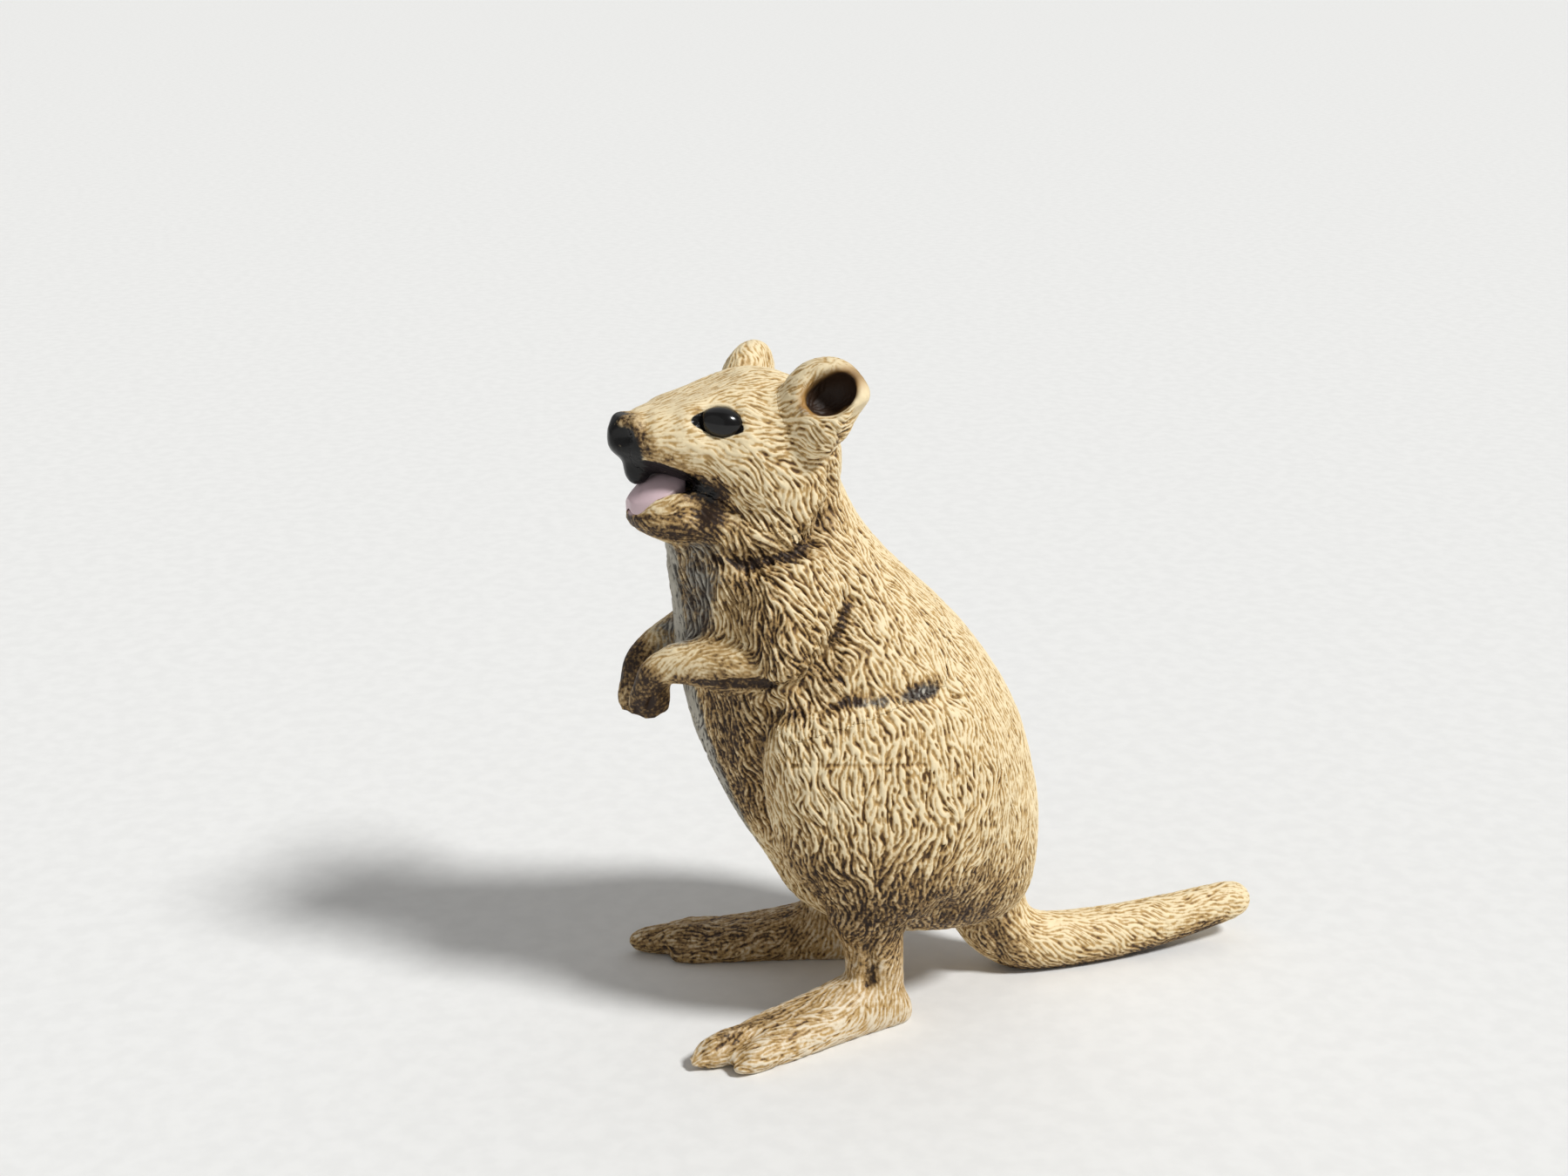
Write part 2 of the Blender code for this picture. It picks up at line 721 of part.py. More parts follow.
def make_hind_leg(side, body, skin_paint):
    """Shin, flat-soled foot, long fourth toe, outer toe and the two small joined inner toes."""
    name = f"{'left' if side > 0 else 'right'}_hind_leg"
    offset = LEFT_HEEL_OFFSET if side > 0 else RIGHT_HEEL_OFFSET
    place = new_empty(f"{name}_place", (side * offset, 0, 0), (0, 0, side * FOOT_SPLAY), body)
    rows = [
        (share * FOOT_LENGTH - HEEL_REACH, top * FOOT_HEIGHT, -SOLE_CUT, half * FOOT_WIDTH / 2)
        for share, top, half in spread_rows(FOOT_SECTIONS, FOOT_RINGS)
    ]
    leg = new_piece(name, reaching_form(name, rows, FOOT_SIDES, FOOT_OVAL), skin_paint, place)
    shin_y = HEEL_REACH - SHIN_DEPTH * 0.6
    wide, deep = SHIN_WIDTH / 2, SHIN_DEPTH / 2
    stations = (
        ((0, shin_y + SHIN_DEPTH * 0.08, FOOT_HEIGHT * 0.55), wide * 0.86, deep * 0.86),
        ((0, shin_y + SHIN_DEPTH * 0.02, FOOT_HEIGHT * 1.25), wide * 0.92, deep * 0.92),
        ((0, shin_y - SHIN_DEPTH * 0.04, HAUNCH_CLEARANCE * 0.85), wide, deep),
        ((0, shin_y - SHIN_DEPTH * 0.20, HAUNCH_CLEARANCE * 1.12), wide * 1.15, deep * 1.25),
        ((0, shin_y - SHIN_DEPTH * 0.20, HAUNCH_CLEARANCE + SHIN_ROOT), wide * 1.05, deep * 1.2),
    )
    join(leg, new_helper(f"{name}_shin", limb("shin", stations, LIMB_SIDES, 10), place))
    toe_line = FOOT_LENGTH - HEEL_REACH
    toes = (
        (-0.06, LONG_TOE_LENGTH, LONG_TOE_DIAMETER, 0.02),
        (0.32, OUTER_TOE_LENGTH, OUTER_TOE_DIAMETER, 0.10),
        (-0.38, INNER_TOE_LENGTH, INNER_TOE_DIAMETER, -0.03),
        (-0.20, INNER_TOE_LENGTH, INNER_TOE_DIAMETER, -0.03),
    )
    for i, (across, length, thick, turn) in enumerate(toes):
        start = Vector((side * across * FOOT_WIDTH, -(toe_line - FOOT_LENGTH * 0.1), thick * 0.54))
        end = start + Vector((side * turn * length, -length + thick * 0.3, -thick * 0.12))
        toe = limb(
            "toe",
            (
                (start, thick * 0.46, thick * 0.46),
                (start.lerp(end, 0.5), thick * 0.52, thick * 0.48),
                (end, thick * 0.34, thick * 0.32),
            ),
            TOE_SIDES,
            5,
        )
        join(leg, new_helper(f"{name}_toe_{i}", toe, place))
    size = (FOOT_WIDTH * 4, FOOT_LENGTH * 4, SOLE_CUT * 10)
    under = new_helper(f"{name}_ground", block("ground", size), place)
    under.location.z = -SOLE_CUT * 5
    cut(leg, under)
    return leg


# Tail

def make_tail(body, fur):
    """A tapering tail that drops from the rump to the ground and runs back along it."""
    thick, tip, root = TAIL_DIAMETER / 2, TAIL_TIP_DIAMETER / 2, TAIL_ROOT_DIAMETER / 2
    bend = (thick + root) / 2
    on_ground = thick - TAIL_FLAT
    far = TAIL_REACH - tip
    stations = (
        ((0, TAIL_START - TAIL_DIAMETER * 0.1, TAIL_ROOT_HEIGHT), root, root),
        ((0, TAIL_START, on_ground + TAIL_DIAMETER * 0.80), root, root),
        ((TAIL_SWAY * 0.4, TAIL_START + TAIL_DIAMETER * 0.32, on_ground + TAIL_DIAMETER * 0.25), bend, bend),
        ((TAIL_SWAY, TAIL_START + TAIL_DIAMETER * 0.85, on_ground), thick, thick),
        ((TAIL_SWAY, TAIL_START + far * 0.42, on_ground - thick * 0.06), thick * 0.93, thick * 0.92),
        ((TAIL_SWAY * 0.5, TAIL_START + far * 0.70, tip + TAIL_TIP_LIFT * 0.55), thick * 0.82, thick * 0.82),
        ((-TAIL_SWAY * 0.3, TAIL_START + far, tip + TAIL_TIP_LIFT), tip, tip),
    )
    tail = new_piece("tail", limb("tail", stations, LIMB_SIDES + 2, 20), fur, body)
    size = (TAIL_DIAMETER * 3, TAIL_REACH * 5, TAIL_DIAMETER)
    under = new_helper("tail_ground", block("tail_ground", size), body)
    under.location.z = -TAIL_DIAMETER / 2
    cut(tail, under)
    return tail


def stand_on_origin(body, pieces):
    """Moves the whole figure so that the origin is under the middle of its box."""
    bpy.context.view_layer.update()
    graph = bpy.context.evaluated_depsgraph_get()
    corners = []
    for piece in pieces:
        shown = piece.evaluated_get(graph)
        corners += [shown.matrix_world @ v.co for v in shown.data.vertices]
    low = [min(c[k] for c in corners) for k in range(3)]
    high = [max(c[k] for c in corners) for k in range(3)]
    body.location = (-(low[0] + high[0]) / 2, -(low[1] + high[1]) / 2, -low[2])
    bpy.context.view_layer.update()


def build():
    paint = {name: new_material(name, *look) for name, look in COLOURS.items()}
    body = new_empty("figurine", (0, 0, 0), (0, 0, 0), None)
    neck_place = (0, -NECK_SETBACK, TORSO_CLEARANCE + TORSO_HEIGHT - HEAD_SINK)
    neck = new_empty("neck", neck_place, (0, -HEAD_TILT, HEAD_TURN), body)
    torso = make_torso(body, paint["fur"])
    head = make_head(neck, paint["fur"])
    nose = make_nose(neck, paint["black"])
    jaw = make_jaw(neck, paint["fur"])
    tongue = make_tongue(neck, paint["pink"])
    tail = make_tail(body, paint["fur"])
    eyes = [make_eye(side, neck, paint["black"]) for side in (1, -1)]
    ears = [make_ear(side, neck, paint["fur"]) for side in (1, -1)]
    arms = [make_foreleg(side, body, paint["fur"]) for side in (1, -1)]
    legs = [make_hind_leg(side, body, paint["skin"]) for side in (1, -1)]
    seat(torso, head, jaw, tail, *arms, *legs)
    seat(head, nose, jaw, tongue, *eyes, *ears)
    seat(jaw, tongue, nose)
    stand_on_origin(body, [torso, head, nose, jaw, tongue, tail, *eyes, *ears, *arms, *legs])


clear_scene()
FIGURINE = new_collection("quokka figurine")
HELPERS = new_collection("cutters")
build()
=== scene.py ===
"""The looks of a quokka figurine: one body of soft vinyl with combed fur sculpted in, painted by hand.

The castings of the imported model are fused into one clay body, shaped with strokes as a sculptor
works, covered with locks of fur, and parted again, so that each casting has its finished skin.
Tables are in millimetres. The body's tables count from the ground between the heels, and the
head's from the neck's pivot. The animal looks along -Y and its left side is +X.
"""

import math

import bmesh
import bpy
import numpy as np
from bpy.props import FloatProperty, FloatVectorProperty, IntProperty, PointerProperty
from mathutils import Euler, Matrix, Vector
from mathutils.bvhtree import BVHTree


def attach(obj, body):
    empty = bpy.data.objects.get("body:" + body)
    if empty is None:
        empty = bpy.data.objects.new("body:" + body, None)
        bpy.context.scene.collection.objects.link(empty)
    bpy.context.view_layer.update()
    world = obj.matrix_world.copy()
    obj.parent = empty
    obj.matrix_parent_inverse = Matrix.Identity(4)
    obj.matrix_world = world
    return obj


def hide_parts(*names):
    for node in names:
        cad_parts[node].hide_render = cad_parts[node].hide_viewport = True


bl_info = {
    "name": "Quokka figurine",
    "version": (1, 0, 0),
    "blender": (4, 5, 0),
    "location": "3D View > Sidebar > Figurine",
    "description": "Sculpts the fur of a small quokka figurine and paints it",
    "category": "Object",
}

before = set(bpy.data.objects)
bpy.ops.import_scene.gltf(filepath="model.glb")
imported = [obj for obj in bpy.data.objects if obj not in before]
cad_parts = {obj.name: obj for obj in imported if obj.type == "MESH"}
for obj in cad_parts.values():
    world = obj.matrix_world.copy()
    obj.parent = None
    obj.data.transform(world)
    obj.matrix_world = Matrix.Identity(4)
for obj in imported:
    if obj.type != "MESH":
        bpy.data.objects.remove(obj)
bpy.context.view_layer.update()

MM = 0.001

# The heels' line and the neck's pivot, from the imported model's origin
BODY_PLACE = Matrix.Translation((-0.66, -7.68, 0))
NECK_PLACE = BODY_PLACE @ Matrix.Translation((0, -7.5, 43.0))
HEAD_PLACE = NECK_PLACE @ Euler((0, math.radians(-5), math.radians(9))).to_matrix().to_4x4()
PLACES = {"body": BODY_PLACE, "head": HEAD_PLACE}

# Each furred or painted casting, with its family of fur, its material slot and how much its clay
# is smoothed, where 1 rounds off anything under about 4 mm
CASTINGS = {
    "torso": ("torso", "painted_fur", 0.40),
    "head": ("head", "painted_fur", 0.22),
    "lower_jaw": ("jaw", "painted_fur", 0.08),
    "nose": ("nose", "gloss_black", 0.06),
    "left_ear": ("ear", "painted_fur", 0.05),
    "right_ear": ("ear", "painted_fur", 0.05),
    "left_foreleg": ("arm", "painted_fur", 0.10),
    "right_foreleg": ("arm", "painted_fur", 0.10),
    "left_hind_leg": ("leg", "painted_skin", 0.08),
    "right_hind_leg": ("leg", "painted_skin", 0.08),
    "tail": ("tail", "painted_fur", 0.25),
}
FAMILY_PLACE = {
    "torso": "body", "head": "head", "jaw": "head", "nose": "head",
    "ear": "head", "arm": "body", "leg": "body", "tail": "body",
}

# The torso's skin is parted into patches, each round a place
PATCHES = {
    "torso_left_thigh": (9.5, -1.0, 17.0),
    "torso_right_thigh": (-9.5, -1.0, 17.0),
    "torso_back": (0.0, 10.0, 23.0),
    "torso_belly": (0.0, -11.0, 22.0),
    "torso_left_shoulder": (7.0, -6.0, 35.0),
    "torso_right_shoulder": (-7.0, -6.0, 35.0),
}

# Kinds of lock: width from groove to groove, depth, and how far they gather in clumps
SNOUT = (0.32, 0.06, 0.3)
CROWN = (0.36, 0.09, 0.5)
CHEEK = (0.42, 0.14, 0.7)
MANE = (0.50, 0.22, 1.0)
BACK = (0.40, 0.12, 0.6)
THIGH = (0.48, 0.17, 0.9)
BELLY = (0.50, 0.16, 0.9)
ARM = (0.34, 0.06, 0.6)
TAIL = (0.38, 0.10, 0.4)
FOOT = (0.32, 0.10, 0.9)
NAKED = (0.36, 0.02, 0.2)

# How the fur is combed: a place on the left side, the way the locks lie there, and their kind
COMBING = {
    "head": (
        ((2.1, -9.4, 5.6), (0.1, 1, 0.25), SNOUT),
        ((1.7, -7.8, 6.7), (0.1, 1, 0.3), SNOUT),
        ((1.7, -3.7, 7.8), (0.15, 1, 0.05), CROWN),
        ((3.2, -5.3, 6.9), (0.3, 1, 0.15), SNOUT),
        ((5.6, -3.2, 4.8), (0.3, 1, -0.2), CROWN),
        ((5.1, -5.5, 3), (0.2, 0.9, -0.4), SNOUT),
        ((2.7, -9.3, 3.5), (0.3, 0.9, -0.2), SNOUT),
        ((2.7, -8, 1.8), (0.2, 0.8, -0.6), SNOUT),
        ((4.5, -5.5, 0.5), (0.1, 0.6, -0.8), CHEEK),
        ((6.2, -3.1, 0.1), (0.1, 0.6, -0.75), CHEEK),
        ((6.6, -1, 2.6), (0.2, 0.8, -0.45), CHEEK),
        ((5.3, -2.9, -3.3), (0, 0.5, -0.85), MANE),
        ((6.3, 0.2, -2.8), (0, 0.6, -0.75), MANE),
        ((6, 2.6, 1), (-0.2, 0.5, -0.85), CHEEK),
        ((2, 4.5, 3), (0, 0.3, -0.95), CHEEK),
        ((0, 3, 7), (0, 0.9, -0.4), CROWN),
    ),
    "jaw": (
        ((3.2, -7.5, -3.1), (0.3, 1, -0.1), CROWN),
        ((0.5, -10, -3.4), (0.1, 1, -0.2), SNOUT),
        ((1, -6.5, -4.6), (0, 0.9, -0.5), CHEEK),
    ),
    "nose": (((0, -11.5, 3.6), (0, 1, 0), NAKED),),
    "ear": (
        ((6.1, -0.4, 6.8), (0.6, 0.5, 0.5), CROWN),
        ((6, 4, 5.5), (0.4, 0.2, 0.9), CROWN),
        ((7.5, 3.5, 9), (0.4, -0.2, 0.6), SNOUT),
        ((8.8, 1.5, 3.2), (0.2, 0.7, -0.5), CHEEK),
    ),
    "torso": (
        ((1.9, -14.2, 36.5), (0.1, 0.1, -1), MANE),
        ((2, -13.9, 32), (0, 0.1, -1), BELLY),
        ((6, -7.5, 38), (0.1, 0.6, -0.75), MANE),
        ((8.3, -9.4, 35.6), (0, 0.6, -0.75), MANE),
        ((8.4, -4.2, 34.5), (0, 0.5, -0.85), MANE),
        ((9.5, -8.1, 30.1), (0, 0.5, -0.85), MANE),
        ((3, -1, 40), (0, 0.5, -0.85), CHEEK),
        ((5.4, 2.1, 34.4), (0, 0.4, -0.9), BACK),
        ((7.7, 7.8, 26.4), (0, 0.15, -1), BACK),
        ((9.6, 2.2, 28.9), (0, 0.25, -1), BACK),
        ((10.4, -2.5, 27), (0, 0.15, -1), THIGH),
        ((11.9, -2.5, 22), (0, 0.05, -1), THIGH),
        ((8.8, -8.9, 21.5), (0.3, 0.15, -1), THIGH),
        ((9.2, -6.3, 13.6), (0, 0.4, -0.9), THIGH),
        ((11, -1, 13), (0, 0, -1), THIGH),
        ((11.4, 3.3, 13.4), (0, -0.2, -0.95), THIGH),
        ((8.6, 9.9, 13.6), (0, 0.05, -1), BACK),
        ((8.3, 7.3, 9.4), (0, -0.2, -0.95), BACK),
        ((0, 14, 15), (0, 0, -1), BACK),
        ((0, 10, 28), (0, 0.3, -1), BACK),
        ((0, -13, 25), (0, 0.1, -1), BELLY),
        ((4, -11, 17), (0, 0.3, -1), BELLY),
        ((3, 2, 6), (0, 1, 0), BELLY),
    ),
    "arm": (
        ((9, -9, 29.8), (-0.3, -0.9, -0.1), ARM),
        ((7.1, -12.4, 30.8), (-0.45, -0.9, -0.1), ARM),
        ((4.7, -15.9, 29.2), (-0.5, -0.6, -0.6), ARM),
        ((2.9, -16.8, 26.3), (-0.1, -0.2, -1), NAKED),
    ),
    "leg": (
        ((9.7, -1, 10), (0, -0.2, -1), THIGH),
        ((8.8, -1.8, 5.6), (0.1, -0.3, -0.95), ARM),
        ((7, 1.8, 3), (0.1, -0.2, -1), ARM),
        ((10.4, -6.6, 2.6), (0.27, -0.95, -0.1), FOOT),
        ((11.5, -13, 1.5), (0.27, -0.95, -0.1), FOOT),
    ),
    "tail": (
        ((0, 12.5, 8), (0, 0.1, -1), BACK),
        ((2.9, 11.6, 4), (0, 0.5, -0.85), TAIL),
        ((1, 15, 3), (0, 1, -0.6), TAIL),
        ((2, 21.5, 2.5), (0, 1, -0.45), TAIL),
        ((1, 32, 3.4), (0, 1, -0.15), TAIL),
    ),
}

# Where a stroke is laid: on both sides, on the near side or along the middle, or on the far side
BOTH, ONE, FAR = (1, -1), (1,), (-1,)

# Strokes that shape the clay: where, on both sides or one, radius, height and the line they follow
SHAPING = (
    # the ruff's edge under the cheek, and the crease below it
    ("head", BOTH, 1.4, -0.8, ((6, 2.8, -0.8), (6.4, 1.2, -3.7), (6.6, -0.6, -5.1), (5, -3.8, -5.7))),
    ("head", BOTH, 1.8, 0.5, ((6, 1.6, -1.2), (6.2, 0, -3), (5.2, -2.6, -3.7), (3.8, -5, -3.2))),
    # the crease behind the ear's foot
    ("head", BOTH, 1.1, -0.6, ((8.9, 2.4, 3.2), (7.4, 2.9, 1.4), (6.4, 2.9, -0.4))),
    # the corner of the mouth, and the lip above it
    ("head", BOTH, 1.1, -0.5, ((2.9, -7.4, -0.2), (3.4, -6.4, -1), (3.4, -6.8, -2.2))),
    ("head", BOTH, 0.8, 0.22, ((2.1, -9.9, 2.9), (2.9, -8.4, 2.2), (3.6, -6.8, 1.4))),
    # the flat bridge between the eyes
    ("head", ONE, 4.2, -0.6, ((0, -8, 6.8), (0, -5, 7.6))),
    # eye sockets and brows
    ("head", BOTH, 2.4, -0.25, ((5.2, -6, 4.7),)),
    ("head", BOTH, 1.3, 0.25, ((3.6, -7.4, 6), (4.1, -5.6, 6.5), (5.2, -3.6, 6.3))),
    # the ears' openings, drawn down to the tuft at their fronts
    ("head", BOTH, 2, -0.55, ((7.2, 1.5, 6), (7.7, 2.5, 6.6), (8.2, 3.1, 7.1))),
    # the ears' narrower lower rims
    ("head", BOTH, 2.2, -0.9, ((10.4, 3.6, 4.4), (9.8, 2.8, 3.2))),
    # the middle of the upper lip
    ("head", ONE, 1.9, 0.45, ((0, -10.2, 1),)),
    # the jaw's rim
    ("head", BOTH, 0.8, 0.3, ((2.9, -8, -0.7), (1.7, -9.8, -1.5))),
    ("head", BOTH, 1.1, 0.6, ((3.4, -5.8, 0), (2.8, -7.2, -0.5))),
    # nostrils, and the fold behind them
    ("head", BOTH, 0.75, -0.45, ((1.2, -12, 3.9), (1.7, -11.3, 4.1))),
    ("head", BOTH, 0.8, 0.3, ((0.6, -11.3, 5.4), (1.5, -10.8, 5.2), (2.1, -10.7, 4.5))),
    ("head", BOTH, 0.6, -0.3, ((1.2, -9.9, 5.8), (2, -10, 5.3), (2.5, -10.1, 4.7), (2.5, -10.4, 3.9))),
    # the crease from the armpit to the elbow
    ("body", BOTH, 1.4, -0.7, ((8, -3.2, 34.6), (8.8, -4.2, 32.6), (9.3, -5.6, 30.6), (9.2, -7, 28.8))),
    ("body", BOTH, 2, 0.45, ((7.8, -8.4, 36), (8.6, -7.6, 33), (9.2, -8.2, 30.8))),
    # the slot under the forearm
    ("body", BOTH, 0.8, -0.7, ((7.4, -12, 29), (8.4, -9.4, 29.1), (9.5, -7.2, 29.3))),
    # the hollow along the top of the thigh, and its front edge
    ("body", BOTH, 1.5, -0.55, ((8.8, -8.4, 27.4), (10, -5, 28), (10.4, -0.6, 28.2), (9.8, 4, 27.8))),
    ("body", BOTH, 1.5, -0.8, ((7.9, -9.2, 26.4), (6.9, -9.9, 23.6), (5.9, -9.6, 20), (5, -8.6, 16))),
    # the notch between thigh and rump
    ("body", BOTH, 1.6, -0.5, ((10.2, 3.6, 10.6), (9, 5, 9))),
    # the hollow ahead of the heel's cord
    ("body", BOTH, 0.8, -0.7, ((8.9, -1.6, 4.2), (8.9, -1.3, 5.6), (9.1, -1.7, 7), (9.3, -1.4, 8.4))),
    ("body", BOTH, 0.8, -0.4, ((8.2, -3.6, 4.8), (8.6, -2.8, 6.4), (8.8, -3, 7.6))),
    # the fold where the tail turns along the ground
    ("body", BOTH, 1, -0.4, ((3.6, 9.4, 6.4), (3.2, 11, 4), (2.2, 11.9, 1.3))),
    # the slender end of the long toes
    ("body", BOTH, 2.2, -0.4, ((11.8, -16.2, 1.2),)),
    # the gaps between the toes
    (
        "body", BOTH, 0.8, -0.85,
        ((12.6, -15.6, 0.8), (12.2, -14.6, 1.6), (11.5, -12.8, 2.2), (10.9, -10.8, 2.8)),
    ),
    ("body", BOTH, 1.6, -0.25, ((9.6, -11, 3),)),
)

# Strokes that push the clay aside: where, on both sides or one, radius, the push and the line they follow
PUSHING = (
    # the ears' lower rims, forward
    ("head", BOTH, 3, (-0.2, -0.8, 0.4), ((9.9, 4.4, 4),)),
    # the jaw's rims, up to the corners of the mouth
    ("head", BOTH, 1.3, (0.1, 0, 0.7), ((3.4, -5.9, -0.6), (3, -7.4, -0.9), (2, -9, -1.4))),
    # the long toes' slender ends
    ("body", BOTH, 2.3, (-0.3, 0.2, -1), ((12, -16.4, 2.6),)),
    ("body", BOTH, 1.9, (0, 0.1, -0.8), ((13.3, -13.3, 2.3),)),
)

# Lines scored into the surface: where, on both sides or one, radius, depth and the line
SCORING = (
    ("body", ONE, 0.3, 0.28, ((10.4, -0.9, 28.2), (10.3, 2, 27.9), (9.7, 5, 27.4), (4.9, 10.4, 25.2))),
    ("body", ONE, 0.3, 0.26, ((10.1, -7.9, 23.3), (11.3, -5, 23.5), (11.8, -1.8, 23.4), (11.9, 1.6, 23.1))),
    ("body", ONE, 0.28, 0.22, ((11.8, 0.2, 22.4), (11.6, 3.9, 22))),
    ("body", BOTH, 0.45, 0.3, ((3.2, -17, 27), (3, -17.6, 24.2))),
    ("body", BOTH, 0.4, 0.22, ((3.7, -16.2, 26.8), (3.6, -16.4, 24))),
    ("body", BOTH, 0.4, 0.22, ((2.6, -17.9, 27), (2.3, -18.2, 24.6))),
)

# The way that the left ear's cup opens
EAR_OPENING = (0.8, -0.5, 0.2)

